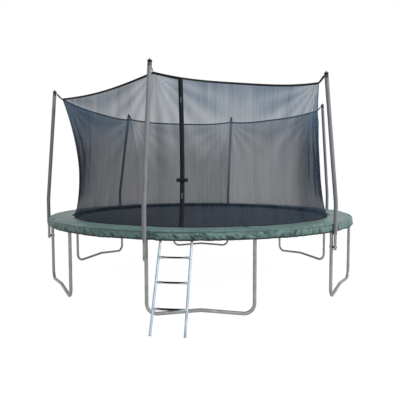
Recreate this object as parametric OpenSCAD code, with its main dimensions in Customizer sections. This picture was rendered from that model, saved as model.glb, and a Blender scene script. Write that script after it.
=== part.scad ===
// Round garden trampoline: a tubular ring on six W-shaped legs, a sprung jumping mat, a padded
// spring cover, six leaning poles that carry a safety net with a zipped door, and a hook-on ladder.
// Millimetres, +Z up. The origin is on the ground under the middle of the whole, ladder included,
// and the ladder and the door are on the -Y side. The modules are drawn about the ring's centre,
// where an azimuth is counted from -Y towards +X in degrees, and on_ring() then sets them back.

/* [Ring] */
// Radius of the circle through the middle of the ring tube
ring_r = 2110; // [2000:5:2250]
// Height of the middle of the ring tube above the ground
ring_h = 825; // [760:5:900]
// Outer diameter of the ring and leg tubes
tube_d = 38; // [36:0.5:42]
// Wall of the ring, leg and pole tubes
tube_wall = 1.5; // [1.2:0.1:2]
// Length of a necked tube end that plugs into the next tube
plug_len = 60; // [40:5:70]
// Play between a necked end and the bore around it, on the radius
plug_play = 0.2; // [0.1:0.05:0.3]

/* [Legs] */
// Radius of the bend at each lower corner of a leg
corner_bend_r = 105; // [80:5:140]
// Radius of the shallow bend in the middle of a leg
middle_bend_r = 200; // [120:10:300]
// Slope of the leg's bottom tube up to its middle, in degrees
base_slope = 4.7; // [2:0.1:7]
// Height of the joint between a leg's bottom part and its uprights
riser_h = 230; // [200:5:300]

/* [Mat and springs] */
// Radius of the jumping mat with its border
mat_r = 1850; // [1800:5:1900]
// Thickness of the mat's fabric
mat_t = 3; // [2:0.5:5]
// Width of the webbing border sewn around the mat
border_w = 60; // [40:5:90]
// Thickness of one layer of the border's webbing
border_t = 1.5; // [1:0.25:3]
// Number of springs on each section of the ring
springs_per_rail = 8; // [6:1:8]
// Outer diameter of a spring's coil
spring_d = 22; // [18:1:24]
// Diameter of the spring wire
wire_d = 3.2; // [2.8:0.1:3.6]
// Ridges drawn on each spring's coil
spring_ridges = 9; // [4:1:14]
// Length of the V-rings that stand out of the border
ring_reach = 20; // [16:1:26]

/* [Spring cover] */
// Inner radius of the padded cover
pad_in_r = 1845; // [1800:5:1880]
// Thickness of the padded cover at its outer edge
pad_t = 18; // [12:1:30]
// Height of the cover's skirt below the padding's underside
skirt_h = 70; // [50:5:75]
// Thickness of the skirt
skirt_t = 1.5; // [1:0.25:2.5]
// Distance from the ring tube's surface out to the skirt's outer face
skirt_out = 11; // [10:1:14]
// Play between the ladder's bolts and the skirt over them
ladder_skirt_play = 2; // [1:0.5:8]

/* [Poles] */
// Outer diameter of the pole tubes
pole_d = 32; // [30:0.5:34]
// Outer diameter of the sleeve around a pole
sleeve_d = 42; // [40:0.5:44]
// Distance between the surfaces of an upright and its pole
pole_gap = 11; // [10:0.5:14]
// Height of a pole's lower end
pole_low = 570; // [540:5:590]
// Height where a pole's two tubes meet
pole_joint = 1060; // [950:10:1300]
// Height from the tubes' joint to the bend where a pole starts to lean
bend_above = 40; // [20:5:60]
// Height of a pole's upper end
pole_high = 2535; // [2300:5:2700]
// How far a pole's upper end leans in
lean = 113; // [60:1:140]
// How far each pole's upper end leans sideways, towards a larger azimuth
sway = [30, -50, 0, -80, -140, 0];
// Height of the lower bolt through upright and pole
bolt_low = 603; // [595:1:640]
// Distance from the lower bolt up to the upper one
bolt_pitch = 157; // [120:1:157]
// Diameter of the bolts
bolt_d = 8; // [6:0.5:10]
// Height of the sleeve's lower end
sleeve_low = 775; // [774:1:820]

/* [Net] */
// Radius of the net at its lower edge
net_r = 1838; // [1820:1:1838]
// Thickness of the net
net_t = 2; // [1:0.5:3]
// Distance from a pole's upper end in to the net's corner
net_corner_in = 95; // [80:5:160]
// Height of the net's corners
net_corner_h = 2465; // [2200:5:2480]
// How far the net's upper edge sags between two corners
net_sag = 59; // [20:1:120]
// How far the net's waist is drawn in
net_draw_in = 141; // [60:1:200]
// Width of the corner straps
strap_w = 25; // [15:1:30]

/* [Door] */
// Azimuth of the door's zip
door_az = -6.4; // [-8:0.1:2]
// Width of the zip's two tapes
zip_w = 50; // [30:1:60]
// Thickness of the zip's tapes
zip_t = 3; // [2:0.5:5]
// Height of the door's buckle
buckle_h = 1368; // [1300:1:1420]

/* [Ladder] */
// Azimuth of the ladder
ladder_az = -6.4; // [-6.6:0.1:-6.2]
// Distance between the middles of the ladder's rails
ladder_w = 313; // [300:1:320]
// Radius at which the ladder stands on the ground
ladder_foot_r = 2614; // [2550:1:2680]
// Outer diameter of the ladder's rails
rail_d = 25; // [22:0.5:28]
// Wall of the ladder's rails
rail_wall = 1.2; // [1:0.1:2]
// Distance along the ladder from its foot to the lowest rung
rung_first = 236; // [180:1:260]
// Distance between two rungs
rung_pitch = 247; // [220:1:270]
// Thickness of the ladder's hooks
hook_t = 4; // [3:0.5:4.5]
// Width of the ladder's hooks
hook_w = 14; // [10:1:14]
// Play between a hook and the ring tube
hook_play = 0.95; // [0.9:0.05:1.2]

/* [Hidden] */
$fn = 48;

LEGS = 6;
POSTS = 2 * LEGS;
POST_STEP = 360 / POSTS;
LEG_STEP = 360 / LEGS;
FIRST_POST = -POST_STEP / 2;
SEAT = 0.3; // space left between soft or moving pieces that lie against each other
END_GAP = 0.2; // space between two rigid pieces or woven edges that meet end to end
bend_thin = 0.1; // how much a tube's radius shrinks where it is bent
bend_lap = 3;

tube_r = tube_d / 2;
bore_r = tube_r - tube_wall;
plug_r = bore_r - plug_play;
plug_bore_r = plug_r - tube_wall;

// Legs
post_y = ring_r * sin(POST_STEP / 2);   // from a leg's middle to its upright
leg_x = ring_r * cos(POST_STEP / 2);    // from the origin to a leg's plane
screw_d = 6;
screw_drop = 27;                        // from the ring's middle down to the screws
cope_play = 0.3;

// Mat and springs
mat_z = ring_h;                         // middle of the mat's thickness
vring_t = mat_t - 0.2;
vring_bar = 3.5;
vring_in = mat_r - 10;                  // inner edge of a V-ring's bar in the border
vring_out = mat_r + ring_reach;         // outer edge of its tip
disc_r = mat_r - 12;                    // edge of the fabric inside the border
stitch_w = 1.5;
stitch_deep = 0.5;
stitch_r = mat_r - border_w - 4 - stitch_w;
hook_r = wire_d / 2 + 2.7;              // middle of a spring's hook
coil_from = vring_out + 10;
coil_to = ring_r - tube_r - 46;
hole_d = wire_d + 4.8;

// Spring cover
pad_low = ring_h + tube_r + hook_play + hook_t + SEAT;
pad_in_t = pad_t + 7;
skirt_r = ring_r + tube_r + skirt_out;
skirt_low = pad_low - skirt_h;
notch_r = ring_r + tube_r + 3.5;
notch_half = sleeve_d / 2 + 14;         // half the width of the notch behind a pole

// Poles
pole_r = pole_d / 2;
pole_off = tube_r + pole_gap + pole_r;  // from an upright's middle to its pole's
pole_bore_r = pole_r - tube_wall;
pole_plug_r = pole_bore_r - plug_play;
pole_bend = pole_joint + bend_above;
pole_bend_r = 300;
sleeve_r = sleeve_d / 2;
sleeve_play = 0.4;
sleeve_high = pole_high - 33;
spacer_w = 30;
spacer_h = 24;
cap_r = 23;
neck_r = 18;
neck_low = 34;
neck_high = 46;
dome_r = 27;

// Net
net_low = mat_z + mat_t / 2 + border_t + SEAT;
NET_ROWS = [0, 0.06, 0.13, 0.2, 0.42, 0.7, 1];
NET_STEPS = 8;                          // columns along a panel
draw_share = 0.2;                       // share of the height over which the waist draws in
corner_power = 2.3;
hem_power = 3.5;

// Door
door_share = (door_az - corner(0)[1]) / (corner(1)[1] - corner(0)[1]);
slider_w = 14;
slider_h = 26;
slider_t = 6;
tab_w = 9;
tab_len = 46;
SLIDER_ROWS = [[5, 6, 0.57], [3, 4, 0.2]]; // row below, row above, share of the way between
buckle_w = 34;
buckle_t = 9;
buckle_off = 10;                        // room for a slider between zip and buckle
buckle_wall = 2;
buckle_mouth = 4;                       // from the zip's middle across to the socket's mouth
socket_len = 28;
prong_len = 16;
prong_w = 5;
strap_reach = 62;                       // from the zip's middle across to the end of a strap
buckle_strap_t = 2.5;

// Ladder
rail_r = rail_d / 2;
pivot_x = sqrt(ring_r * ring_r - ladder_w * ladder_w / 4);
hook_in = tube_r + hook_play;
hook_out = hook_in + hook_t;
rail_n = hook_in - rail_r;              // from the pivot's line out to a rail's middle
rail_top = hook_out + 14;               // from the pivot down to a rail's upper end
ladder_tilt = atan((ladder_foot_r - pivot_x - rail_n) / ring_h);
foot_t = 3;
foot_r = rail_r + 1;
hook_end = 160;                         // direction of the hook's tip, in degrees above the outside
ladder_len = (ring_h - (foot_r - rail_n) * sin(ladder_tilt)) / cos(ladder_tilt);
ladder_screw_r = 3;
rung_r = 10;
rung_flat_w = 36;
rung_flat_t = 11;
rung_flat_to = 80;                      // half the length of a rung's flat middle
rung_round_from = 118;                  // where a rung is round again
RUNG_SIDES = 24;
ladder_bolt_at = rail_top + 20;
ladder_head_r = 5.5;
ladder_head_t = 4;
// The skirt's outer face where it passes over the heads of the ladder's bolts
ladder_skirt_r = skirt_t + ladder_skirt_play + norm([ladder_w / 2 + ladder_head_r,
    pivot_x + (hook_out + ladder_head_t) * cos(ladder_tilt)
        + (ladder_bolt_at + ladder_head_r) * sin(ladder_tilt)]);
foot_reach = pivot_x + ladder_len * sin(ladder_tilt) + (rail_n + foot_r) * cos(ladder_tilt);

// The whole
front_reach = foot_reach * cos(ladder_az) + ladder_w / 2 * abs(sin(ladder_az));
ring_y = round((front_reach - skirt_r) / 2); // from the origin back to the ring's centre

// ---- frames and shared shapes ----

function post_az(i) = FIRST_POST + POST_STEP * i;
function pole_az(i) = FIRST_POST + LEG_STEP * i;
function degrees_of(len, r) = len / r * 180 / PI;
function mix(a, b, t) = a + (b - a) * t;

// Moves the ring's centre back to its place behind the origin.
module on_ring() {
    translate([0, ring_y, 0]) children();
}

// Turns the children so that their +X points out of the ring at an azimuth.
module at_azimuth(az) {
    rotate([0, 0, az - 90]) children();
}

// A sector of a round rod bent on the ring's circle, between two angles from +X.
module ring_rod(r, from, to) {
    translate([0, 0, ring_h]) rotate([0, 0, from])
        rotate_extrude(angle = to - from, $fn = 180) translate([ring_r, 0]) circle(r = r, $fn = 32);
}

// A rod bent in the YZ plane about [y, z], a little thinner than the straight rods that lap it.
module bend_rod(r, centre, bend_r, from, sweep) {
    translate([0, centre[0], centre[1]]) rotate([90, 0, 90]) rotate([0, 0, from])
        rotate_extrude(angle = sweep, $fn = 72)
            translate([bend_r, 0]) circle(r = r - bend_thin, $fn = 32);
}

// A straight rod between two points of the YZ plane, which laps the bend at each end it is told to.
module yz_rod(r, a, b, lap_a = bend_lap, lap_b = bend_lap) {
    span = b - a;
    translate([0, a[0], a[1]]) rotate([atan2(-span[0], span[1]), 0, 0])
        translate([0, 0, -lap_a]) cylinder(r = r, h = norm(span) + lap_a + lap_b);
}

// A radial rod along +X between two distances from the axis.
module radial_rod(r, from, to, z, sides = 32) {
    translate([from, 0, z]) rotate([0, 90, 0]) cylinder(r = r, h = to - from, $fn = sides);
}

// ---- ring ----

// One section of the ring: a bent tube with a necked end, spring holes and a stub for the upright.
module rail() {
    half = POST_STEP / 2 - degrees_of(END_GAP / 2, ring_r);
    neck = degrees_of(plug_len, ring_r);
    collar = degrees_of(4, ring_r);
    step = POST_STEP / springs_per_rail;
    stub_low = ring_h - tube_r - plug_len;
    color("silver") difference() {
        union() {
            ring_rod(tube_r, -half, half);
            ring_rod(plug_r, half - collar, half + neck);
            translate([ring_r, 0, stub_low]) cylinder(r = plug_r, h = ring_h - stub_low);
        }
        ring_rod(bore_r, -half - 1, half - collar);
        ring_rod(plug_bore_r, half - 2 * collar, half + neck + 1);
        translate([ring_r, 0, stub_low - 1]) cylinder(r = plug_bore_r, h = ring_h - stub_low + 1);
        radial_rod(screw_d / 2 + 0.2, ring_r - tube_r, ring_r, ring_h - screw_drop);
        radial_rod(bolt_d / 2 + 0.3, ring_r - tube_r, ring_r + tube_r, bolt_low + bolt_pitch);
        for (i = [0:springs_per_rail - 1])
            rotate([0, 0, -half + (i + 0.5) * step])
                radial_rod(hole_d / 2, ring_r - tube_r - 1, ring_r - bore_r + 4, ring_h, 24);
    }
}

// ---- legs ----

// A rod along the centre line of a leg's bottom, narrower above neck_from.
module leg_path(r, neck_r, neck_from, neck_to) {
    corner = [post_y - corner_bend_r, tube_r + corner_bend_r];
    foot = corner - corner_bend_r * [sin(base_slope), cos(base_slope)];
    middle_y = middle_bend_r * sin(base_slope);
    middle_z = foot[1] + (foot[0] - middle_y) * tan(base_slope);
    bend_rod(r, [0, middle_z - middle_bend_r * cos(base_slope)], middle_bend_r,
        90 - base_slope, 2 * base_slope);
    for (side = [0, 1]) mirror([0, side, 0]) {
        yz_rod(r, [middle_y, middle_z], foot);
        bend_rod(r, corner, corner_bend_r, -90 - base_slope, 90 + base_slope);
        yz_rod(r, [post_y, corner[1]], [post_y, neck_from], lap_b = 0);
        yz_rod(neck_r, [post_y, neck_from - 5], [post_y, neck_to], 0, 0);
    }
}

// The W-shaped bottom of a leg, with two necked ends that plug into the uprights.
module leg_base() {
    color("silver") translate([leg_x, 0, 0]) difference() {
        leg_path(tube_r, plug_r, riser_h, riser_h + plug_len);
        leg_path(bore_r, plug_bore_r, riser_h - 4, riser_h + plug_len + 1);
    }
}

// One upright: a tube whose upper end is cut to the ring tube that rests in it.
module upright(carries_pole) {
    color("silver") difference() {
        translate([ring_r, 0, riser_h]) cylinder(r = tube_r, h = ring_h - riser_h);
        translate([ring_r, 0, riser_h - 1]) cylinder(r = bore_r, h = ring_h);
        ring_rod(tube_r + cope_play, -2, 2);
        radial_rod(screw_d / 2 + 0.2, ring_r - tube_r - 1, ring_r, ring_h - screw_drop);
        if (carries_pole) bolt_places() radial_rod(bolt_d / 2 + 0.3, -60, 60, 0);
    }
}

module leg_uprights(leg) {
    at_azimuth(post_az(2 * leg)) upright(true);
    at_azimuth(post_az(2 * leg + 1)) upright(false);
}

// Screws that hold each upright on its stub.
module frame_screws() {
    head = ring_r - tube_r;
    color("dimgray") for (i = [0:POSTS - 1]) at_azimuth(post_az(i)) {
        radial_rod(6, head - 4.5, head, ring_h - screw_drop, 6);
        radial_rod(screw_d / 2, head, head + 7, ring_h - screw_drop);
    }
}

// ---- mat and springs ----

// Places the children at every spring of the ring.
module at_springs() {
    total = POSTS * springs_per_rail;
    for (i = [0:total - 1]) at_azimuth((i + 0.5) * 360 / total) children();
}

// The outline of a spring turned about its own axis: a ridged coil that narrows to a straight wire.
function spring_outline() =
    let (low = spring_d / 2 - wire_d / 2, pitch = (coil_to - coil_from) / spring_ridges)
    concat(
        [[0, coil_from - 8], [wire_d / 2, coil_from - 8], [wire_d / 2, coil_from - 2]],
        [for (i = [0:spring_ridges - 1]) each [
            [low, coil_from + i * pitch], [spring_d / 2, coil_from + (i + 0.5) * pitch]]],
        [[low, coil_to], [wire_d / 2, coil_to + 6], [wire_d / 2, ring_r - bore_r + 4.5],
            [0, ring_r - bore_r + 4.5]]);

// One spring: its coil, the hook around a V-ring and the bent end inside the ring tube.
module spring() {
    tip = vring_out - vring_bar / 2;
    translate([0, 0, mat_z]) {
        rotate([0, 90, 0]) rotate_extrude($fn = 24) polygon(spring_outline());
        translate([tip, 0, 0]) rotate([90, 0, 0])
            rotate_extrude(angle = 290, $fn = 36) translate([hook_r, 0]) circle(d = wire_d, $fn = 16);
        translate([ring_r - bore_r + 3.5, 0, 0]) cylinder(d = wire_d, h = 6, $fn = 16);
    }
}

module springs() {
    color("gainsboro") at_springs() spring();
}

// A flat wire ring whose bar is held between the border's two layers.
module v_ring() {
    base = 17;
    tip = 6;
    lean_in = vring_bar * 1.3;
    translate([0, 0, mat_z - vring_t / 2]) linear_extrude(vring_t) difference() {
        polygon([[vring_in, -base], [vring_in, base], [vring_out, tip], [vring_out, -tip]]);
        polygon([[vring_in + vring_bar, lean_in - base], [vring_in + vring_bar, base - lean_in],
            [vring_out - vring_bar, tip - 1.8], [vring_out - vring_bar, 1.8 - tip]]);
    }
}

module v_rings() {
    color("gainsboro") at_springs() v_ring();
}

// The fabric, with a row of stitches pressed into its upper face beside the border.
module mat() {
    top = mat_z + mat_t / 2;
    color("#30353c") rotate_extrude($fn = 180)
        polygon([[0, top - mat_t], [disc_r, top - mat_t], [disc_r, top], [stitch_r + stitch_w, top],
            [stitch_r + stitch_w, top - stitch_deep], [stitch_r, top - stitch_deep],
            [stitch_r, top], [0, top]]);
}

// Two layers of webbing, above and below the edge of the mat.
module mat_border() {
    color("#1d2024") for (z = [mat_z - mat_t / 2 - border_t, mat_z + mat_t / 2])
        translate([0, 0, z]) rotate_extrude($fn = 180)
            translate([mat_r - border_w, 0]) square([border_w, border_t]);
}

// ---- spring cover ----

// The padding of one sixth of the cover, up to an outer radius.
module padding(half, out_r) {
    top = pad_low + pad_t;
    rotate([0, 0, -half]) rotate_extrude(angle = 2 * half, $fn = 180)
        polygon([[pad_in_r, pad_low], [out_r, pad_low], [out_r, top - 5], [out_r - 5, top],
            [pad_in_r + 8, pad_low + pad_in_t], [pad_in_r, pad_low + pad_in_t - 6]]);
}

// The cover's outline seen from above, drawn in by a distance, with a notch behind the pole.
module pad_outline(inwards) {
    difference() {
        circle(r = skirt_r - inwards, $fn = 180);
        translate([notch_r - inwards, -notch_half - inwards])
            square([skirt_r, 2 * (notch_half + inwards)]);
    }
}

// A wedge of the plane between two angles from +X.
module wedge(from, to) {
    reach = 2 * skirt_r;
    polygon([[0, 0], reach * [cos(from), sin(from)], reach * [cos(to), sin(to)]]);
}

// One sixth of the cover: the padding with its edge, and the skirt that hangs from it.
module pad(index) {
    half = LEG_STEP / 2 - degrees_of(SEAT / 2, pad_in_r);
    tuck = 0.6;
    zone = ladder_zone() - [1, 1] * pole_az(0);
    color("#6f8f84") at_azimuth(pole_az(index)) {
        difference() {
            padding(half, skirt_r - tuck);
            translate([notch_r - tuck, -notch_half - tuck, 0])
                cube([skirt_r, 2 * (notch_half + tuck), ring_h + skirt_r]);
        }
        translate([0, 0, skirt_low]) linear_extrude(skirt_h + pad_t - 6) intersection() {
            difference() {
                pad_outline(0);
                pad_outline(skirt_t);
                if (index == 0) wedge(zone[0], zone[1]);
            }
            wedge(-half, half);
        }
    }
}

// Azimuths between which the ladder pushes the skirt out.
function ladder_zone() = [ladder_az, ladder_az] + degrees_of(ladder_w / 2 + 75, skirt_r) * [-1, 1];

// The part of the skirt over the ladder's rails, sewn to the cover's edge.
module ladder_skirt() {
    zone = ladder_zone();
    play = degrees_of(SEAT, skirt_r);
    cheek = degrees_of(skirt_t, skirt_r) + play;
    color("#6f8f84") at_azimuth(0) difference() {
        rotate([0, 0, zone[0] + play])
            rotate_extrude(angle = zone[1] - zone[0] - 2 * play, $fn = 180)
                translate([skirt_r + SEAT, skirt_low])
                    square([ladder_skirt_r - skirt_r - SEAT, skirt_h + pad_t - 6]);
        rotate([0, 0, zone[0] + cheek])
            rotate_extrude(angle = zone[1] - zone[0] - 2 * cheek, $fn = 180)
                translate([skirt_r, skirt_low - 1])
                    square([ladder_skirt_r - skirt_r - skirt_t, skirt_h + 1]);
    }
}

// ---- poles ----

function pole_rise() = pole_high - pole_bend;
function pole_tilt(i) = atan2(norm([lean, sway[i]]), pole_rise());
function pole_heading(i) = atan2(sway[i], -lean);

// Places the children at the two bolts of a pole, on the upright's axis.
module bolt_places() {
    for (z = [bolt_low, bolt_low + bolt_pitch]) translate([ring_r, 0, z]) children();
}

// Puts the children's origin on a pole's bend, leaning with the pole.
module pole_frame(i) {
    translate([ring_r + pole_off, 0, pole_bend])
        rotate([0, pole_tilt(i), pole_heading(i)]) children();
}

// Distance along a leaning pole from its bend to a height.
function along_pole(i, z) = (z - pole_bend) / cos(pole_tilt(i));

// A rod of radius r that follows a pole from one height to another, through its bend.
module pole_rod(i, r, low, high) {
    start = pole_bend_r * tan(pole_tilt(i) / 2);
    translate([ring_r + pole_off, 0, low]) cylinder(r = r, h = pole_bend - start + bend_lap - low);
    translate([ring_r + pole_off, 0, pole_bend - start]) rotate([0, 0, pole_heading(i) - 90])
        bend_rod(r, [pole_bend_r, 0], pole_bend_r, 180 - pole_tilt(i), pole_tilt(i));
    pole_frame(i) translate([0, 0, start - bend_lap])
        cylinder(r = r, h = along_pole(i, high) - start + bend_lap);
}

module pole_lower_tubes() {
    color("silver") for (i = [0:LEGS - 1]) at_azimuth(pole_az(i)) difference() {
        translate([ring_r + pole_off, 0, pole_low]) cylinder(r = pole_r, h = pole_joint - pole_low);
        translate([ring_r + pole_off, 0, pole_low - 1]) cylinder(r = pole_bore_r, h = pole_joint);
        bolt_places() radial_rod(bolt_d / 2 + 0.3, 0, 2 * pole_off, 0);
    }
}

// Upper tubes: a necked end in the lower tube, a short straight stretch and the leaning length.
module pole_upper_tubes() {
    color("silver") for (i = [0:LEGS - 1]) at_azimuth(pole_az(i)) difference() {
        union() {
            pole_rod(i, pole_r, pole_joint, pole_high);
            translate([ring_r + pole_off, 0, pole_joint - plug_len])
                cylinder(r = pole_plug_r, h = plug_len + 2);
        }
        pole_rod(i, pole_bore_r, pole_joint + 4, pole_high + 5);
        translate([ring_r + pole_off, 0, pole_joint - plug_len - 1])
            cylinder(r = pole_plug_r - tube_wall, h = plug_len + 10);
    }
}

module pole_sleeves() {
    color("#8d8a8c") for (i = [0:LEGS - 1]) at_azimuth(pole_az(i)) difference() {
        pole_rod(i, sleeve_r, sleeve_low, sleeve_high);
        pole_rod(i, pole_r + sleeve_play, sleeve_low - 1, sleeve_high + 5);
    }
}

// The outline of a cap: a round skirt over the tube, a neck for the strap, a dome and a knob.
function cap_outline() = concat(
    [[0, 0], [cap_r - 1, 0], [cap_r, 1], [cap_r, neck_low - 4], [neck_r, neck_low],
        [neck_r, neck_high], [dome_r - 2, neck_high + 1]],
    [for (a = [0:15:75]) [dome_r * cos(a), neck_high + 4 + 18 * sin(a)]],
    [[6, neck_high + 22], [6, neck_high + 30], [4, neck_high + 33], [0, neck_high + 34]]);

module pole_caps() {
    color("#23272d") for (i = [0:LEGS - 1]) at_azimuth(pole_az(i))
        pole_frame(i) translate([0, 0, along_pole(i, sleeve_high) + SEAT]) difference() {
            rotate_extrude() polygon(cap_outline());
            translate([0, 0, -1]) cylinder(r = pole_r + sleeve_play,
                h = along_pole(i, pole_high) - along_pole(i, sleeve_high) + 1 + SEAT);
        }
}

// Moulded blocks that fit between an upright and its pole.
module pole_spacers() {
    color("#1b1c1e") for (i = [0:LEGS - 1]) at_azimuth(pole_az(i)) difference() {
        bolt_places() translate([tube_r / 2, -spacer_w / 2, -spacer_h / 2])
            cube([pole_off - tube_r / 2 - pole_r / 2, spacer_w, spacer_h]);
        translate([ring_r, 0, 0]) cylinder(r = tube_r + 0.15, h = ring_h);
        translate([ring_r + pole_off, 0, 0]) cylinder(r = pole_r + 0.15, h = ring_h);
        bolt_places() radial_rod(bolt_d / 2 + 0.3, 0, pole_off, 0);
    }
}

// Bolts through upright, spacer and pole, with a domed head outside and a nut inside.
module pole_bolts() {
    inner = -tube_r;
    outer = pole_off + pole_r;
    color("#2b2d30") for (i = [0:LEGS - 1]) at_azimuth(pole_az(i)) bolt_places() {
        radial_rod(bolt_d / 2, inner - 7, outer + 2, 0);
        radial_rod(6.5, inner - 6, inner, 0, 6);
        translate([outer, 0, 0]) rotate([0, 90, 0]) rotate_extrude($fn = 32)
            polygon([[0, 0], [8, 0], [7.5, 2], [5.5, 4], [0, 5]]);
    }
}

// ---- net ----

// The net's corner at a pole, as a radius and an azimuth.
function corner(i) =
    let (x = ring_r + pole_off - lean - net_corner_in, y = sway[i % LEGS])
    [norm([x, y]), pole_az(i) + atan(y / x)];

// Azimuth at a share of the way between two corners.
function panel_az(panel, share) = mix(corner(panel)[1], corner(panel + 1)[1], share);

// Radius of the straight line between two corners, at an azimuth.
function chord_r(a, b, az) =
    a[0] * b[0] * sin(b[1] - a[1]) / (a[0] * sin(az - a[1]) + b[0] * sin(b[1] - az));

// Height of the net's upper edge at a share of the way between two corners.
function hem_z(share) = net_corner_h - net_sag * (1 - pow(abs(2 * share - 1), hem_power));

// Radius that the net would have at a share of its height with no corners.
function waist_r(s) = net_r - net_draw_in * (1 - exp(-s / draw_share));

// Radius of the net: its waist, drawn out to the straight line between the corners.
function net_radius(panel, az, s) = waist_r(s)
    + (chord_r(corner(panel), corner(panel + 1), az) - waist_r(1)) * pow(s, corner_power);

// A point of the net at a share of its height, moved outwards by out. A column is a share of the
// way along the panel, and the number of half widths of the zip that it lies beside that.
function net_point(panel, column, s, out = 0) =
    let (az = panel_az(panel, column[0]), r = net_radius(panel, az, s) + out,
        side = column[1] * zip_w / 2)
    [r * sin(az) + side * cos(az), side * sin(az) - r * cos(az),
        net_low + s * (hem_z(column[0]) - net_low)];

// Indexes of the two triangles of a quad, given as four corners seen from outside.
function quad(a, b, c, d) = [[a, b, c], [a, c, d]];

// The same triangles seen from the other side, so that a sheet's two faces fold alike.
function back_of(faces) = [for (f = faces) [f[2], f[1], f[0]]];

// A part of a net panel as a thin closed sheet.
module net_sheet(panel, columns) {
    cols = len(columns);
    rows = len(NET_ROWS);
    layer = cols * rows;
    points = [for (out = [-net_t / 2, net_t / 2], s = NET_ROWS, column = columns)
        net_point(panel, column, s, out)];
    function at(side, row, col) = side * layer + row * cols + col;
    faces = [
        for (r = [0:rows - 2], c = [0:cols - 2]) each concat(
            quad(at(1, r, c), at(1, r + 1, c), at(1, r + 1, c + 1), at(1, r, c + 1)),
            back_of(quad(at(0, r, c), at(0, r + 1, c), at(0, r + 1, c + 1), at(0, r, c + 1)))),
        for (c = [0:cols - 2]) each concat(
            quad(at(0, 0, c), at(1, 0, c), at(1, 0, c + 1), at(0, 0, c + 1)),
            quad(at(0, rows - 1, c + 1), at(1, rows - 1, c + 1), at(1, rows - 1, c), at(0, rows - 1, c))),
        for (r = [0:rows - 2]) each concat(
            quad(at(0, r + 1, 0), at(1, r + 1, 0), at(1, r, 0), at(0, r, 0)),
            quad(at(0, r, cols - 1), at(1, r, cols - 1), at(1, r + 1, cols - 1), at(0, r + 1, cols - 1)))
    ];
    polyhedron(points = points, faces = faces);
}

// One panel of the net. The first is in two parts, on both sides of the door's zip.
module net_panel(panel) {
    color("#8c99a3") {
        if (panel == 0) net_sheet(panel, [[0, 0], [door_share / 2, 0], [door_share, -1]]);
        if (panel == 0) net_sheet(panel,
            concat([[door_share, 1]], [for (i = [2:NET_STEPS]) [i / NET_STEPS, 0]]));
        if (panel > 0) net_sheet(panel, [for (i = [0:NET_STEPS]) [i / NET_STEPS, 0]]);
    }
}

// Straps from each cap's neck down to the net's corner.
module corner_straps() {
    thick = 2.5;
    color("#16181b") for (i = [0:LEGS - 1]) at_azimuth(pole_az(i)) {
        neck = sleeve_high + (neck_low + neck_high) / 2;
        share = (neck - pole_bend) / pole_rise();
        loop_r = neck_r + SEAT;
        low = ring_r + pole_off - lean - net_corner_in + net_t / 2 + SEAT;
        high = ring_r + pole_off - lean * share - loop_r - thick + 0.5;
        pole_frame(i) translate([0, 0, along_pole(i, neck) - 5]) difference() {
            cylinder(r = loop_r + thick, h = 10);
            translate([0, 0, -1]) cylinder(r = loop_r, h = 12);
        }
        translate([0, sway[i] + strap_w / 2, 0]) rotate([90, 0, 0]) linear_extrude(strap_w)
            polygon([[low, net_corner_h - 6], [low, net_corner_h + 2], [high - 3, neck + 3],
                [high, neck + 3], [high, neck - 3]]);
    }
}

// ---- door ----

// The middle of the zip at a row of the net, as a radius and a height.
function zip_point(row) = [net_radius(0, door_az, NET_ROWS[row]),
    net_low + NET_ROWS[row] * (hem_z(door_share) - net_low)];

// The zip's two tapes and its teeth, between the two parts of the first panel.
module door_zip() {
    last = len(NET_ROWS) - 1;
    width = zip_w - 2 * END_GAP;
    color("#15171a") at_azimuth(door_az) translate([0, width / 2, 0]) rotate([90, 0, 0])
        linear_extrude(width) polygon(concat(
            [for (row = [0:last]) zip_point(row) + [zip_t / 2, 0]],
            [for (row = [last:-1:0]) zip_point(row) - [zip_t / 2, 0]]));
}

// Puts the children in front of the zip: +X away from it, +Y across it, +Z up along it.
module on_zip(below, above, share) {
    a = zip_point(below);
    b = zip_point(above);
    at = mix(a, b, share);
    tilt = atan2(b[0] - a[0], b[1] - a[1]);
    at_azimuth(door_az) translate([at[0] + zip_t / 2, 0, at[1]]) rotate([0, tilt, 0])
        translate([SEAT, 0, 0]) children();
}

// A zip slider: a tapered body, a bridge and a pull tab.
module zip_slider(place) {
    body_t = slider_t - 2;
    color("#c9ccd0") on_zip(SLIDER_ROWS[place][0], SLIDER_ROWS[place][1], SLIDER_ROWS[place][2]) {
        rotate([0, 90, 0]) linear_extrude(body_t) polygon([
            [-slider_h / 2, -slider_w / 2], [-slider_h / 2, slider_w / 2], [0, slider_w / 2 - 1],
            [slider_h / 2, slider_w / 3], [slider_h / 2, -slider_w / 3], [0, 1 - slider_w / 2]]);
        translate([0, -2, -8]) cube([slider_t, 4, 16]);
        difference() {
            translate([body_t - 0.2, -tab_w / 2, -tab_len]) cube([2.2, tab_w, tab_len - 2]);
            translate([0, 0, 6 - tab_len]) rotate([0, 90, 0]) cylinder(r = 2.2, h = 10, $fn = 24);
        }
    }
}

// Puts the children in front of the zip at the buckle's height.
module at_buckle() {
    low = zip_point(3)[1];
    on_zip(3, 4, (buckle_h - low) / (zip_point(4)[1] - low)) children();
}

// A strap that falls from the buckle to the net, beside the zip.
module buckle_strap(from, to) {
    half = mix(from, to, 0.6);
    under = buckle_off + 3;
    translate([0, 0, -strap_w / 2]) linear_extrude(strap_w) polygon([
        [under, from], [under + buckle_strap_t, from], [under + 1, half],
        [buckle_strap_t - 1, to], [-1, to], [under + 1 - buckle_strap_t, half]]);
}

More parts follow.
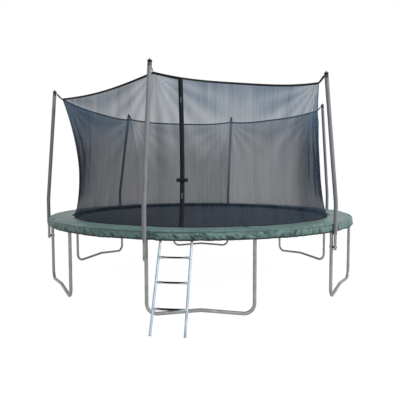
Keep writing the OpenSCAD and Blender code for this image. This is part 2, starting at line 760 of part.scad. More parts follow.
// The buckle's socket, with a window for each prong and its strap.
module buckle_socket() {
    window = 8;
    color("#101215") at_buckle() {
        difference() {
            translate([buckle_off, buckle_mouth - socket_len, -buckle_w / 2])
                cube([buckle_t, socket_len, buckle_w]);
            translate([buckle_off + buckle_wall, buckle_mouth - prong_len, buckle_wall - buckle_w / 2])
                cube([buckle_t - 2 * buckle_wall, prong_len + 1, buckle_w - 2 * buckle_wall]);
            for (side = [-1, 1])
                translate([buckle_off - 1, -window, side * buckle_w / 2 - window / 2])
                    cube([buckle_t + 2, window, window]);
        }
        buckle_strap(buckle_mouth - socket_len + 1, -strap_reach);
    }
}

// The buckle's plug: two prongs in the socket, a shoulder and a strap.
module buckle_plug() {
    shoulder = buckle_mouth + SEAT;
    shoulder_len = 16;
    play = buckle_wall + SEAT;
    color("#101215") at_buckle() {
        translate([buckle_off, shoulder, -buckle_w / 2]) cube([buckle_t, shoulder_len, buckle_w]);
        for (side = [-1, 1])
            translate([buckle_off + play, shoulder + 1 - prong_len, (side - 0.5) * prong_w * 1.6 + 1.5])
                cube([buckle_t - 2 * play, prong_len, prong_w]);
        buckle_strap(shoulder + shoulder_len - 1, strap_reach);
    }
}

// ---- ladder ----

// Puts the children's origin on the ring tube between the hooks, with -Z down along the ladder.
module ladder_frame() {
    at_azimuth(ladder_az) translate([pivot_x, 0, ring_h]) rotate([0, -ladder_tilt, 0]) children();
}

function rung_z(i) = -ladder_len + rung_first + i * rung_pitch;

module ladder_rail(side) {
    length = ladder_len - foot_t - rail_top;
    color("#b9c6d2") ladder_frame() translate([rail_n, side * ladder_w / 2, 0]) difference() {
        translate([0, 0, -rail_top - length]) cylinder(r = rail_r, h = length);
        translate([0, 0, -rail_top - length - 1]) cylinder(r = rail_r - rail_wall, h = length + 2);
        for (i = [0:2]) translate([0, 0, rung_z(i)])
            rotate([side * 90, 0, 0]) cylinder(r = rung_r + 0.2, h = rail_d);
        radial_rod(ladder_screw_r + 0.3, 0, rail_d, -ladder_bolt_at);
    }
}

// One ring of points round a rung, from round at flat = 0 to a tread at flat = 1.
function rung_ring(y, flat) =
    let (w = mix(2 * rung_r, rung_flat_w, flat), t = mix(2 * rung_r, rung_flat_t, flat))
    [for (k = [0:RUNG_SIDES - 1]) let (a = (k + 0.5) * 360 / RUNG_SIDES)
        [(w - t) / 2 * sign(cos(a)) + t / 2 * cos(a), y, t / 2 * sin(a)]];

// A rung: a round tube pressed flat in its middle to make a tread, level when the ladder stands.
module rung() {
    reach = ladder_w / 2 - 3;
    press = [for (i = [0:4]) i / 4];
    rings = concat(
        [rung_ring(-reach, 0)],
        [for (u = press) rung_ring(mix(-rung_round_from, -rung_flat_to, u), (1 - cos(180 * u)) / 2)],
        [for (u = press) rung_ring(mix(rung_flat_to, rung_round_from, u), (1 + cos(180 * u)) / 2)],
        [rung_ring(reach, 0)]);
    last = len(rings) - 1;
    sides = [for (k = [0:RUNG_SIDES - 1]) k];
    rotate([0, ladder_tilt, 0]) polyhedron(
        points = [for (ring = rings) each ring],
        faces = concat(
            [[for (k = sides) RUNG_SIDES - 1 - k]],
            [for (r = [0:last - 1], k = sides) let (n = (k + 1) % RUNG_SIDES)
                [r * RUNG_SIDES + n, (r + 1) * RUNG_SIDES + n,
                    (r + 1) * RUNG_SIDES + k, r * RUNG_SIDES + k]],
            [[for (k = sides) last * RUNG_SIDES + k]]));
}

module ladder_rungs() {
    color("#9aa6b0") ladder_frame() for (i = [0:2]) translate([rail_n, 0, rung_z(i)]) rung();
}

// Flat steel hooks over the ring tube, bolted to the outer face of each rail.
module ladder_hooks() {
    straight = ladder_bolt_at + 12;
    hook_lap = 2;
    color("silver") ladder_frame() for (side = [-1, 1]) translate([0, side * ladder_w / 2, 0]) {
        translate([0, hook_w / 2, 0]) rotate([90, 0, 0])
            rotate_extrude(angle = hook_end - ladder_tilt, $fn = 72)
                translate([hook_in, 0]) square([hook_t, hook_w]);
        difference() {
            translate([hook_in + 0.05, -hook_w / 2, -straight])
                cube([hook_t - 0.2, hook_w, straight + hook_lap]);
            radial_rod(ladder_screw_r + 0.3, hook_in - 1, hook_out + 1, -ladder_bolt_at);
        }
    }
}

module ladder_feet() {
    color("#2a2d31") ladder_frame() for (side = [-1, 1])
        translate([rail_n, side * ladder_w / 2, -ladder_len]) {
            cylinder(r = foot_r, h = foot_t);
            translate([0, 0, 1]) cylinder(r = rail_r - rail_wall - 0.2, h = 20);
        }
}

module ladder_bolts() {
    color("dimgray") ladder_frame() for (side = [-1, 1])
        translate([0, side * ladder_w / 2, -ladder_bolt_at]) {
            radial_rod(ladder_screw_r, hook_in - 6, hook_out + 1, 0);
            radial_rod(ladder_head_r, hook_out, hook_out + ladder_head_t, 0, 6);
        }
}

// ---- the assembly ----

function two_digits(n) = str(n < 10 ? "0" : "", n);

for (i = [0:POSTS - 1])
    on_ring() at_azimuth(post_az(i)) rail();
for (i = [0:LEGS - 1]) {
    on_ring() at_azimuth(i * LEG_STEP) leg_base();
    on_ring() leg_uprights(i);
    on_ring() pad(i);
    on_ring() net_panel(i);
}
on_ring() frame_screws();
on_ring() springs();
on_ring() v_rings();
on_ring() mat();
on_ring() mat_border();
on_ring() ladder_skirt();
on_ring() pole_lower_tubes();
on_ring() pole_upper_tubes();
on_ring() pole_sleeves();
on_ring() pole_caps();
on_ring() pole_spacers();
on_ring() pole_bolts();
on_ring() corner_straps();
on_ring() door_zip();
on_ring() zip_slider(0);  // zip_slider_upper
on_ring() zip_slider(1);  // zip_slider_lower
on_ring() buckle_socket();
on_ring() buckle_plug();
on_ring() ladder_rail(-1);  // ladder_rail_left
on_ring() ladder_rail(1);  // ladder_rail_right
on_ring() ladder_rungs();
on_ring() ladder_hooks();
on_ring() ladder_feet();
on_ring() ladder_bolts();
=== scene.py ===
"""Round garden trampoline with a safety net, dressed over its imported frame.

Lengths are in metres. An azimuth is counted in degrees from -Y towards +X about the ring's centre.
"""

import logging
import math
from dataclasses import dataclass
from enum import Enum
from typing import Callable, Iterable, Optional, Sequence

import bmesh
import bpy
from mathutils import Matrix, Vector, noise
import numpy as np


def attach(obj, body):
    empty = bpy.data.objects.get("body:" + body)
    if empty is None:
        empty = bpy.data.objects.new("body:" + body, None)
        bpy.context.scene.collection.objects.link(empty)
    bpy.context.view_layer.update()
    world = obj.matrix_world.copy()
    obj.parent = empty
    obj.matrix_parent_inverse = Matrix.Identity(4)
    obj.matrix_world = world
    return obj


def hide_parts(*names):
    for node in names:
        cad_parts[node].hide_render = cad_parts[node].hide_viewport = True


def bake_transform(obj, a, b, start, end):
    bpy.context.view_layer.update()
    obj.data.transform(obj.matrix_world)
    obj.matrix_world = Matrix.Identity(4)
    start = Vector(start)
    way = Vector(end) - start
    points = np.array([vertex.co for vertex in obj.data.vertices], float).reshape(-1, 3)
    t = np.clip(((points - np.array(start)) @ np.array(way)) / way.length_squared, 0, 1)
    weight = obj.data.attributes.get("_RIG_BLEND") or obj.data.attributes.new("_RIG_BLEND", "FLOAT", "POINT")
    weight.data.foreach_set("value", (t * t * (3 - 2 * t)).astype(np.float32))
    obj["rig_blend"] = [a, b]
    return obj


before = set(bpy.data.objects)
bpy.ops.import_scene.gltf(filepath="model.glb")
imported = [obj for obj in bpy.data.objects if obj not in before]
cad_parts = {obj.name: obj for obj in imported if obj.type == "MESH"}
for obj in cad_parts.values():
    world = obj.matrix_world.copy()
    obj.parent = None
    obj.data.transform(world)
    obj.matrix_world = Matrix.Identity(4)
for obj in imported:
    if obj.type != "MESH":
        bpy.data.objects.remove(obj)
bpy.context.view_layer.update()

LOG = logging.getLogger("trampoline")
RING_Y = 0.242
MAT_Z = 0.825

Colour = tuple[float, float, float, float]
Socket = bpy.types.NodeSocket


# ---- places and numbers ----


def polar(azimuth: float, radius: float, height: float, across: float = 0.0) -> Vector:
    """The point at an azimuth and radius from the ring's centre, moved across to the right."""
    a = math.radians(azimuth)
    return Vector((radius * math.sin(a) + across * math.cos(a),
                   RING_Y - radius * math.cos(a) + across * math.sin(a), height))


def turned_to(azimuth: float) -> Matrix:
    """The place about the ring's axis whose +X points outwards at an azimuth."""
    return Matrix.Translation((0, RING_Y, 0)) @ Matrix.Rotation(math.radians(azimuth - 90), 4, "Z")


def mix(a: float, b: float, share: float) -> float:
    """The number at a share of the way from a to b."""
    return a + (b - a) * share


def smooth(low: float, high: float, value: float) -> float:
    """A soft step from 0 at low to 1 at high."""
    t = min(max((value - low) / (high - low), 0.0), 1.0)
    return t * t * (3 - 2 * t)


def ripple(x: float, y: float, seed: float = 0.0) -> float:
    """Soft noise from -1 to 1 at a place in the plane."""
    return noise.noise(Vector((x, y, seed)))


def crease(x: float, y: float, seed: float = 0.0) -> float:
    """Sharp-backed folds from 0 to 1 at a place in the plane."""
    return (1 - min(abs(ripple(x, y, seed)) * 2.6, 1.0)) ** 2


def screen(red: int, green: int, blue: int) -> Colour:
    """A colour in screen values from 0 to 255, as linear light with full cover.

    Args:
        red: Red share.
        green: Green share.
        blue: Blue share.

    Returns:
        The four numbers that a colour socket takes.
    """
    def light(value: int) -> float:
        """One of the shares as linear light."""
        share = value / 255
        return share / 12.92 if share <= 0.04045 else ((share + 0.055) / 1.055) ** 2.4
    return light(red), light(green), light(blue), 1.0


# ---- finishes ----


class Slot(Enum):
    """The record's material slots."""

    GALVANISED_TUBE = "galvanised_tube"
    ZINC_STEEL = "zinc_steel"
    SPRING_STEEL = "spring_steel"
    MAT_FABRIC = "mat_fabric"
    WEBBING = "webbing"
    PAD_COVER = "pad_cover"
    FOAM_SLEEVE = "foam_sleeve"
    BLACK_PLASTIC = "black_plastic"
    BLACK_STEEL = "black_steel"
    NET_MESH = "net_mesh"
    ZIP_TAPE = "zip_tape"
    SLIDER_METAL = "slider_metal"
    BUCKLE_PLASTIC = "buckle_plastic"
    LADDER_TUBE = "ladder_tube"
    LADDER_TREAD = "ladder_tread"


class NodeTree:
    """A node tree, written in short calls."""

    def __init__(self, tree: bpy.types.NodeTree) -> None:
        """Empties a tree to write in."""
        self.tree = tree
        self.tree.nodes.clear()

    def add(self, kind: str, inputs: Optional[dict] = None, **settings: object) -> bpy.types.Node:
        """Adds a node.

        Args:
            kind: The node's type.
            inputs: A value or another node's output for each socket, by name or number.
            **settings: The node's own properties.

        Returns:
            The new node.
        """
        made = self.tree.nodes.new(kind)
        for name, value in settings.items():
            setattr(made, name, value)
        for socket, value in (inputs or {}).items():
            if isinstance(value, Socket):
                self.tree.links.new(value, made.inputs[socket])
            else:
                made.inputs[socket].default_value = value
        return made

    def spot(self, scale: tuple[float, float, float] = (1, 1, 1), source: str = "Object") -> Socket:
        """The place on the piece, in metres times scale."""
        where = self.add("ShaderNodeTexCoord").outputs[source]
        return self.add("ShaderNodeMapping", {"Vector": where, "Scale": scale}).outputs[0]

    def stored(self, name: str) -> Socket:
        """A number that the piece's vertices hold under a name."""
        return self.add("ShaderNodeAttribute", attribute_name=name).outputs["Fac"]

    def noise(self, spot: Socket, scale: float, detail: float = 3.0, rough: float = 0.55) -> Socket:
        """Soft noise from 0 to 1."""
        return self.add("ShaderNodeTexNoise", {"Vector": spot, "Scale": scale, "Detail": detail,
                                               "Roughness": rough}).outputs[0]

    def waves(self, spot: Socket, pitch: float, along: str) -> Socket:
        """Bands from 0 to 1, one every pitch metres along X, Y or Z."""
        return self.add("ShaderNodeTexWave", {"Vector": spot, "Scale": math.pi / 10 / pitch},
                        bands_direction=along).outputs[1]

    def span(self, value: Socket, from_low: float, from_high: float, low: float, high: float) -> Socket:
        """A number moved from one range to another, and held in it."""
        ranges = {0: value, 1: from_low, 2: from_high, 3: low, 4: high}
        return self.add("ShaderNodeMapRange", ranges).outputs[0]

    def full(self, value: Socket, low: float = 0.3, high: float = 0.7) -> Socket:
        """The part of a number between low and high, stretched from 0 to 1."""
        return self.span(value, low, high, 0.0, 1.0)

    def math(self, operation: str, a: object, b: object = 0.0) -> Socket:
        """What an operation makes of two numbers or sockets."""
        return self.add("ShaderNodeMath", {0: a, 1: b}, operation=operation).outputs[0]

    def blend(self, share: Socket, a: object, b: object) -> Socket:
        """A colour between two."""
        return self.add("ShaderNodeMix", {0: share, 6: a, 7: b}, data_type="RGBA").outputs[2]

    def bump(self, height: Socket, strength: float, distance: float, under: Optional[Socket] = None) -> Socket:
        """A relief of the surface.

        Args:
            height: The relief's height from 0 to 1.
            strength: How strongly it shows.
            distance: Its depth in metres.
            under: Another relief that it lies on.

        Returns:
            The bent normal.
        """
        inputs = {"Height": height, "Strength": strength, "Distance": distance}
        if under is not None:
            inputs["Normal"] = under
        return self.add("ShaderNodeBump", inputs).outputs[0]

    def seen(self) -> Socket:
        """Where the stage itself is looked at.

        Returns:
            1 on the rays of the camera, of a gloss and through a clear surface, and otherwise 0.
        """
        path = self.add("ShaderNodeLightPath")
        glossy = self.math("MAXIMUM", path.outputs["Is Camera Ray"], path.outputs["Is Glossy Ray"])
        return self.math("MAXIMUM", glossy, path.outputs["Is Transmission Ray"])


class ShaderTree(NodeTree):
    """A new material's node tree round a principled surface."""

    def __init__(self, name: str) -> None:
        """Starts a material with an output and a principled surface.

        Args:
            name: The material's name.
        """
        self.material = bpy.data.materials.new(name)
        self.material.use_nodes = True
        super().__init__(self.material.node_tree)
        self.surface = self.add("ShaderNodeBsdfPrincipled")
        self.output = self.add("ShaderNodeOutputMaterial", {"Surface": self.surface.outputs[0]})

    def set(self, **values: object) -> None:
        """Sets or links sockets of the surface.

        Args:
            **values: A value or an output for each socket, with _ for a space in its name.
        """
        for name, value in values.items():
            socket = self.surface.inputs[name.replace("_", " ")]
            if isinstance(value, Socket):
                self.tree.links.new(value, socket)
            else:
                socket.default_value = value


@dataclass(frozen=True)
class Finish:
    """A finish that runs between a dark and a light shade."""

    slot: Slot
    dark: Colour
    light: Colour

    def build(self) -> bpy.types.Material:
        """Makes the finish's material.

        Returns:
            The material, named as its slot.
        """
        sh = ShaderTree(self.slot.value)
        self.paint(sh)
        return sh.material

    def paint(self, sh: ShaderTree) -> None:
        """Lays the finish on a surface."""
        raise NotImplementedError

    def shade(self, sh: ShaderTree, share: Socket) -> Socket:
        """The colour at a share of the way from dark to light."""
        return sh.blend(share, self.dark, self.light)


@dataclass(frozen=True)
class Metal(Finish):
    """A metal surface with cloudy patches, fine grain and zinc's spangle."""

    metallic: float
    roughness: float
    patch: float = 14.0
    grain: float = 900.0
    spangle: float = 0.0

    def paint(self, sh: ShaderTree) -> None:
        """Lays the finish on a surface.

        Args:
            sh: The material's nodes.
        """
        spot = sh.spot()
        cloud = sh.noise(spot, self.patch, 4.0)
        share = sh.full(cloud)
        if self.spangle:
            cells = sh.add("ShaderNodeTexVoronoi", {"Vector": spot, "Scale": self.spangle}).outputs[1]
            grey = sh.add("ShaderNodeRGBToBW", {0: cells}).outputs[0]
            share = sh.math("MULTIPLY", sh.math("ADD", share, grey), 0.5)
        fine = sh.noise(spot, self.grain, 2.0)
        rough = sh.span(sh.math("ADD", cloud, fine), 0.6, 1.4, self.roughness - 0.07, self.roughness + 0.09)
        sh.set(Base_Color=self.shade(sh, share), Metallic=self.metallic, Roughness=rough,
               Normal=sh.bump(fine, 0.12, 0.0004))


@dataclass(frozen=True)
class Moulded(Finish):
    """Moulded plastic with a fine texture and a soft gloss."""

    roughness: float = 0.42
    gloss: float = 0.5
    grain: float = 700.0

    def paint(self, sh: ShaderTree) -> None:
        """Lays the finish on a surface.

        Args:
            sh: The material's nodes.
        """
        spot = sh.spot()
        wear = sh.noise(spot, 30.0, 5.0)
        fine = sh.noise(spot, self.grain, 2.0)
        sh.set(Base_Color=self.shade(sh, sh.full(wear, 0.4, 0.75)),
               Roughness=sh.span(wear, 0.3, 0.7, self.roughness - 0.06, self.roughness + 0.1),
               Specular_IOR_Level=self.gloss,
               Normal=sh.bump(fine, 0.2, 0.0003))


@dataclass(frozen=True)
class Woven(Finish):
    """Cloth of crossing yarns, with a slow change of shade over the piece."""

    pitch: float
    weft_share: float = 1.15
    roughness: float = 0.75
    relief: float = 0.0006
    gloss: float = 0.25
    sheen: float = 0.03

    def paint(self, sh: ShaderTree) -> None:
        """Lays the finish on a surface.

        Args:
            sh: The material's nodes.
        """
        spot = sh.spot()
        warp = sh.waves(spot, self.pitch, "X")
        weft = sh.waves(spot, self.pitch * self.weft_share, "Y")
        yarn = sh.math("MULTIPLY", sh.math("ADD", warp, weft), 0.5)
        shade = sh.math("ADD", sh.math("MULTIPLY", yarn, 0.35), sh.noise(spot, 5.0, 5.0))
        sh.set(Base_Color=self.shade(sh, sh.full(shade, 0.4, 0.95)),
               Roughness=self.roughness, Specular_IOR_Level=self.gloss, Sheen_Weight=self.sheen,
               Normal=sh.bump(yarn, 0.5, self.relief))


@dataclass(frozen=True)
class CoverVinyl(Finish):
    """Coated cloth of the spring cover: fine scrim under a soft gloss, with crumples and dust, painted shade in
    its folds, at its seams and down its skirt, a painted shadow under its piping and a darker foot.
    """

    # The deep colour is painted shade, laid in folds, at the seams and down the skirt.
    deep: Colour
    # The edge colour is the painted shadow under the piping and the darker foot of the skirt.
    edge: Colour
    patch: float = 3.5
    crumple: float = 26.0
    scrim: float = 0.0016

    def paint(self, sh: ShaderTree) -> None:
        """Lays the finish on a surface.

        Args:
            sh: The material's nodes.
        """
        spot = sh.spot()
        cloud = sh.noise(spot, self.patch, 5.0)
        crumple = sh.noise(spot, self.crumple, 4.0, 0.6)
        scrim = sh.math("ADD", sh.waves(spot, self.scrim, "X"), sh.waves(spot, self.scrim, "Y"))
        # The colour follows the broad cloud and the crumple relief: lighter where the crumples stand higher,
        # darker in their hollows.
        cloud_and_crumple = sh.math("ADD", cloud, sh.math("MULTIPLY", crumple, 0.5))
        plain = self.shade(sh, sh.full(cloud_and_crumple, 0.55, 1.0))
        # Painted shade in the folds, at the seams between sections and down the skirt.
        folded = sh.blend(sh.stored("fold"), plain, self.deep)
        under = sh.bump(crumple, 0.35, 0.006)
        # Painted shadow under the piping, and the skirt darker at its foot.
        sh.set(Base_Color=sh.blend(sh.stored("hem"), folded, self.edge),
               Roughness=sh.span(crumple, 0.3, 0.7, 0.36, 0.52), Specular_IOR_Level=0.3,
               Normal=sh.bump(scrim, 0.12, 0.0003, under))


@dataclass(frozen=True)
class Sleeving(Finish):
    """Smooth cloth drawn over foam, with long soft pulls."""

    pulls: tuple[float, float, float] = (40, 40, 4)
    weave: float = 0.0014
    grain: float = 1200.0


    def paint(self, sh: ShaderTree) -> None:
        """Lays the finish on a surface.

        Args:
            sh: The material's nodes.
        """
        spot = sh.spot()
        pull = sh.noise(sh.spot(self.pulls), 1.0, 4.0)
        weave = sh.math("ADD", sh.waves(spot, self.weave, "Z"), sh.noise(spot, self.grain, 1.0))
        sh.set(Base_Color=self.shade(sh, sh.full(pull)),
               Roughness=sh.span(pull, 0.3, 0.7, 0.42, 0.58), Specular_IOR_Level=0.2,
               Normal=sh.bump(weave, 0.15, 0.0003, sh.bump(pull, 0.3, 0.002)))


@dataclass(frozen=True)
class NetMesh(Finish):
    """Fine knitted mesh that light passes through, closer where it is gathered, with painted light on its upper
    part and painted sunlight on its rear panels.
    """

    # The third colour is painted light on the upper part of the net.
    painted_light_top: Colour
    # The fourth colour is painted sunlight on the rear panels.
    painted_sunlight: Colour
    cover: float
    cell: float
    least_cover: float = 0.1
    streaks: tuple[float, float, float] = (9, 0.9, 1)
    uneven: float = 0.07
    painted_light_from: float = 0.95
    painted_light_to: float = 1.4

    def paint(self, sh: ShaderTree) -> None:
        """Lays the finish on a surface.

        Args:
            sh: The material's nodes.
        """
        spot = sh.spot(source="UV")
        threads = sh.math("MAXIMUM", sh.waves(spot, self.cell, "X"), sh.waves(spot, self.cell, "Y"))
        streak = sh.noise(sh.spot(self.streaks, "UV"), 1.0, 6.0, 0.62)
        loose = sh.math("ADD", sh.span(threads, 0.0, 1.0, -0.03, 0.02),
                        sh.span(streak, 0.25, 0.75, -self.uneven, self.uneven))
        cover = sh.math("ADD", sh.math("ADD", loose, sh.stored("gather")), self.cover)
        up = sh.add("ShaderNodeSeparateXYZ", {0: spot}).outputs[1]
        yarn = self.shade(sh, sh.full(streak))
        # Painted light: the threads are painted lighter and bluer towards the top of the net.
        high = sh.blend(sh.span(up, self.painted_light_from, self.painted_light_to, 0.0, 0.9), yarn, self.painted_light_top)
        # Painted sunlight on the rear panels, strongest towards their tops.
        sh.set(Base_Color=sh.blend(sh.stored("painted_sun"), high, self.painted_sunlight),
               Roughness=0.8, Specular_IOR_Level=0.1,
               Alpha=sh.add("ShaderNodeClamp", {0: cover, 1: self.least_cover, 2: 1.0}).outputs[0])


@dataclass(frozen=True)
class ZipTape(Finish):
    """Dense black tape with fine ribs across it."""

    rib: float = 0.003
    grain: float = 90.0


    def paint(self, sh: ShaderTree) -> None:
        """Lays the finish on a surface.

        Args:
            sh: The material's nodes.
        """
        spot = sh.spot(source="UV")
        ribs = sh.waves(spot, self.rib, "Y")
        rough = sh.noise(spot, self.grain, 3.0)
        sh.set(Base_Color=self.shade(sh, sh.math("MULTIPLY", ribs, rough)),
               Roughness=0.6, Specular_IOR_Level=0.2, Normal=sh.bump(ribs, 0.5, 0.0008))


@dataclass(frozen=True)
class Tread(Finish):
    """Coated steel, with painted shade in the pressed hollow on top of a rung."""

    # The third colour is painted shade in the pressed hollow.
    painted_hollow_shade: Colour
    patch: float = 20.0
    grain: float = 900.0

    def paint(self, sh: ShaderTree) -> None:
        """Lays the finish on a surface.

        Args:
            sh: The material's nodes.
        """
        spot = sh.spot()
        cloud = sh.noise(spot, self.patch, 4.0)
        plain = self.shade(sh, sh.full(cloud))
        # Painted shade across the top of the rung's pressed middle.
        sh.set(Base_Color=sh.blend(sh.stored("painted_hollow_shade"), plain, self.painted_hollow_shade), Metallic=0.45,
               Roughness=sh.span(cloud, 0.3, 0.7, 0.36, 0.5),
               Normal=sh.bump(sh.noise(spot, self.grain, 2.0), 0.12, 0.0004))


class Workshop:
    """Keeps one material for each slot."""

    def __init__(self) -> None:
        """Makes every finish of the trampoline."""
        finishes = (
            Metal(Slot.GALVANISED_TUBE, screen(120, 122, 120), screen(172, 173, 170), 0.6, 0.42,
                  spangle=160.0),
            Metal(Slot.ZINC_STEEL, screen(120, 121, 122), screen(170, 171, 172), 0.9, 0.35),
            Metal(Slot.SPRING_STEEL, screen(150, 152, 154), screen(190, 192, 194), 0.95, 0.28),
            Woven(Slot.MAT_FABRIC, screen(84, 87, 90), screen(116, 120, 124), 0.0022),
            Woven(Slot.WEBBING, screen(12, 14, 17), screen(28, 30, 34), 0.003),
            # The cover's deep colour is painted shade, and its edge colour the painted shadow under the piping and
            # the darker foot.
            CoverVinyl(Slot.PAD_COVER, screen(88, 118, 115), screen(120, 151, 146), screen(30, 48, 45),
                       screen(18, 25, 25)),
            Sleeving(Slot.FOAM_SLEEVE, screen(116, 116, 123), screen(143, 143, 150)),
            Moulded(Slot.BLACK_PLASTIC, screen(26, 33, 43), screen(60, 74, 92), 0.22),
            Metal(Slot.BLACK_STEEL, screen(26, 28, 31), screen(52, 54, 58), 0.6, 0.42),
            # The net's third colour is painted light on its upper part, its fourth painted sunlight on the rear
            # panels.
            NetMesh(Slot.NET_MESH, screen(23, 34, 46), screen(50, 63, 80), screen(66, 92, 116),
                    screen(226, 229, 233), 0.65, 0.005),
            ZipTape(Slot.ZIP_TAPE, screen(8, 9, 11), screen(30, 33, 38)),
            Metal(Slot.SLIDER_METAL, screen(66, 68, 72), screen(118, 120, 124), 0.95, 0.25),
            Moulded(Slot.BUCKLE_PLASTIC, screen(8, 9, 11), screen(24, 26, 30), 0.42, 0.15),
            Metal(Slot.LADDER_TUBE, screen(142, 156, 169), screen(180, 193, 205), 0.5, 0.4),
            # The tread's last colour is painted shade in its pressed hollow.
            Tread(Slot.LADDER_TREAD, screen(140, 152, 163), screen(176, 188, 198), screen(34, 36, 41)),
        )
        self.materials = {finish.slot: finish.build() for finish in finishes}

    def dress(self, nodes: Iterable[str], slot: Slot) -> None:
        """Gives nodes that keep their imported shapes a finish.

        Args:
            nodes: Their names.
            slot: The finish.
        """
        for name in nodes:
            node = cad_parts[name]
            if not node.material_slots:
                node.data.materials.append(None)
            for place in node.material_slots:
                place.material = self.materials[slot]
            LOG.info("dressed %s in %s", name, slot.value)

    def piece(self, name: str, bm: bmesh.types.BMesh, *slots: Slot, closed: bool = True) -> bpy.types.Object:
        """Turns a bmesh into a finished piece in the scene.

        Args:
            name: The piece's name.
            bm: Its shape, which is freed.
            *slots: Its finishes, of which the first is the piece's slot.
            closed: Whether its faces can be turned outwards.

        Returns:
            The new object, on no body yet.
        """
        if closed:
            bmesh.ops.recalc_face_normals(bm, faces=bm.faces)
        for face in bm.faces:
            face.smooth = True
        mesh = bpy.data.meshes.new(name)
        bm.to_mesh(mesh)
        bm.free()
        for slot in slots:
            mesh.materials.append(self.materials[slot])
        piece = bpy.data.objects.new(name, mesh)
        bpy.context.scene.collection.objects.link(piece)
        LOG.info("built %s, %d faces", name, len(mesh.polygons))
        return piece


# ---- shared shapes ----


def number_layers(bm: bmesh.types.BMesh, *names: str) -> list[bmesh.types.BMLayerItem]:
    """Gives every vertex a number for each name, before the first vertex is made.

    Args:
        bm: The mesh, still empty.
        *names: The numbers' names.

    Returns:
        The key of each number in a vertex.
    """
    for name in names:
        bm.verts.layers.float.new(name)
    return [bm.verts.layers.float[name] for name in names]


def outline(bm: bmesh.types.BMesh, points: Sequence[Vector]) -> list[bmesh.types.BMEdge]:
    """Draws a closed loop through a few points."""
    ring = [bm.verts.new(p) for p in points]
    return [bm.edges.new((ring[i], ring[(i + 1) % len(ring)])) for i in range(len(ring))]


def sweep(bm: bmesh.types.BMesh, points: Sequence[Vector], places: Sequence[Matrix],
          capped: bool = True) -> list[list[bmesh.types.BMVert]]:
    """Extrudes a closed outline through a row of places.

    Args:
        bm: The mesh to draw in.
        points: The outline, in the places' own frame.
        places: Where the outline stands, in order.
        capped: Whether both ends are closed.

    Returns:
        The vertices at each place.
    """
    edges = outline(bm, [places[0] @ p for p in points])
    rows = [[e.verts[0] for e in edges]]
    ends = [edges]
    for before, place in zip(places, places[1:]):
        grown = bmesh.ops.extrude_edge_only(bm, edges=edges)["geom"]
        verts = [g for g in grown if isinstance(g, bmesh.types.BMVert)]
        fresh = set(verts)
        edges = [g for g in grown if isinstance(g, bmesh.types.BMEdge) and set(g.verts) <= fresh]
        bmesh.ops.transform(bm, matrix=place @ before.inverted(), verts=verts)
        rows.append(verts)
    ends.append(edges)
    if capped:
        for end in ends:
            bmesh.ops.edgeloop_fill(bm, edges=end)
    return rows


def sheet_grid(bm: bmesh.types.BMesh, columns: int, rows: int,
               place: Callable[[float, float], Vector], size: tuple[float, float]) -> list[tuple]:
    """Lays a grid on a curved surface and keeps its flat measures as a UV map.

    Args:
        bm: The mesh to draw in.
        columns: Faces along the sheet.
        rows: Faces up the sheet.
        place: The point at a share along and a share up.
        size: The sheet's length and height in metres, for the UV map.

    Returns:
        Each new vertex with its two shares.
    """
    uv = bm.loops.layers.uv.verify()
    made = bmesh.ops.create_grid(bm, x_segments=columns, y_segments=rows, size=0.5)["verts"]
    shares = [(v, v.co.x + 0.5, v.co.y + 0.5) for v in made]
    where = {v: (u, w) for v, u, w in shares}
    for face in {f for v in made for f in v.link_faces}:
        for loop in face.loops:
            u, w = where[loop.vert]
            loop[uv].uv = (u * size[0], w * size[1])
    for v, u, w in shares:
        v.co = place(u, w)
    return shares


def box(bm: bmesh.types.BMesh, low: Vector, high: Vector, place: Matrix, edge: float) -> None:
    """Adds a block with rounded edges.

    Args:
        bm: The mesh to draw in.
        low: Its low corner, in the place's own frame.
        high: Its high corner.
        place: Where it stands.
        edge: The width of its rounded edges.
    """
    verts = bmesh.ops.create_cube(bm, size=1.0)["verts"]
    middle, span = (low + high) / 2, high - low
    bmesh.ops.scale(bm, vec=span, verts=verts)
    bmesh.ops.translate(bm, vec=middle, verts=verts)
    edges = list({e for v in verts for e in v.link_edges})
    made = bmesh.ops.bevel(bm, geom=edges, offset=edge, offset_type="OFFSET", segments=2, profile=0.5,
                           affect="EDGES", material=-1)
    bmesh.ops.transform(bm, matrix=place, verts=made["verts"])


def circle_points(radius: float, sides: int) -> list[Vector]:
    """A circle in the XY plane."""
    return [Vector((radius * math.cos(math.tau * i / sides), radius * math.sin(math.tau * i / sides), 0))
            for i in range(sides)]


def headings(points: Sequence[Vector]) -> list[Vector]:
    """The direction of a path at each of its points."""
    last = len(points) - 1
    return [points[min(i + 1, last)] - points[max(i - 1, 0)] for i in range(last + 1)]


def facing(point: Vector, heading: Vector) -> Matrix:
    """The place at a point whose +Z runs along a heading."""
    turn = Vector((0, 0, 1)).rotation_difference(heading.normalized()).to_matrix().to_4x4()
    return Matrix.Translation(point) @ turn


# ---- sub-assemblies ----


@dataclass
class Assembly:
    """A part of the trampoline that takes its finishes from the workshop."""

    shop: Workshop


# ---- steel frame ----


@dataclass
class SteelFrame(Assembly):
    """The ring's sections, the legs and their screws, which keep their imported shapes."""

    sections: int = 12
    legs: int = 6

    def build(self) -> None:
        """Dresses the ring and the legs."""
        self.shop.dress([f"rail_{i:02d}" for i in range(1, self.sections + 1)], Slot.GALVANISED_TUBE)
        self.shop.dress([f"leg_base_{i}" for i in range(1, self.legs + 1)], Slot.GALVANISED_TUBE)
        self.shop.dress([f"leg_uprights_{i}" for i in range(1, self.legs + 1)], Slot.GALVANISED_TUBE)
        self.shop.dress(["frame_screws"], Slot.ZINC_STEEL)


# ---- mat and springs ----


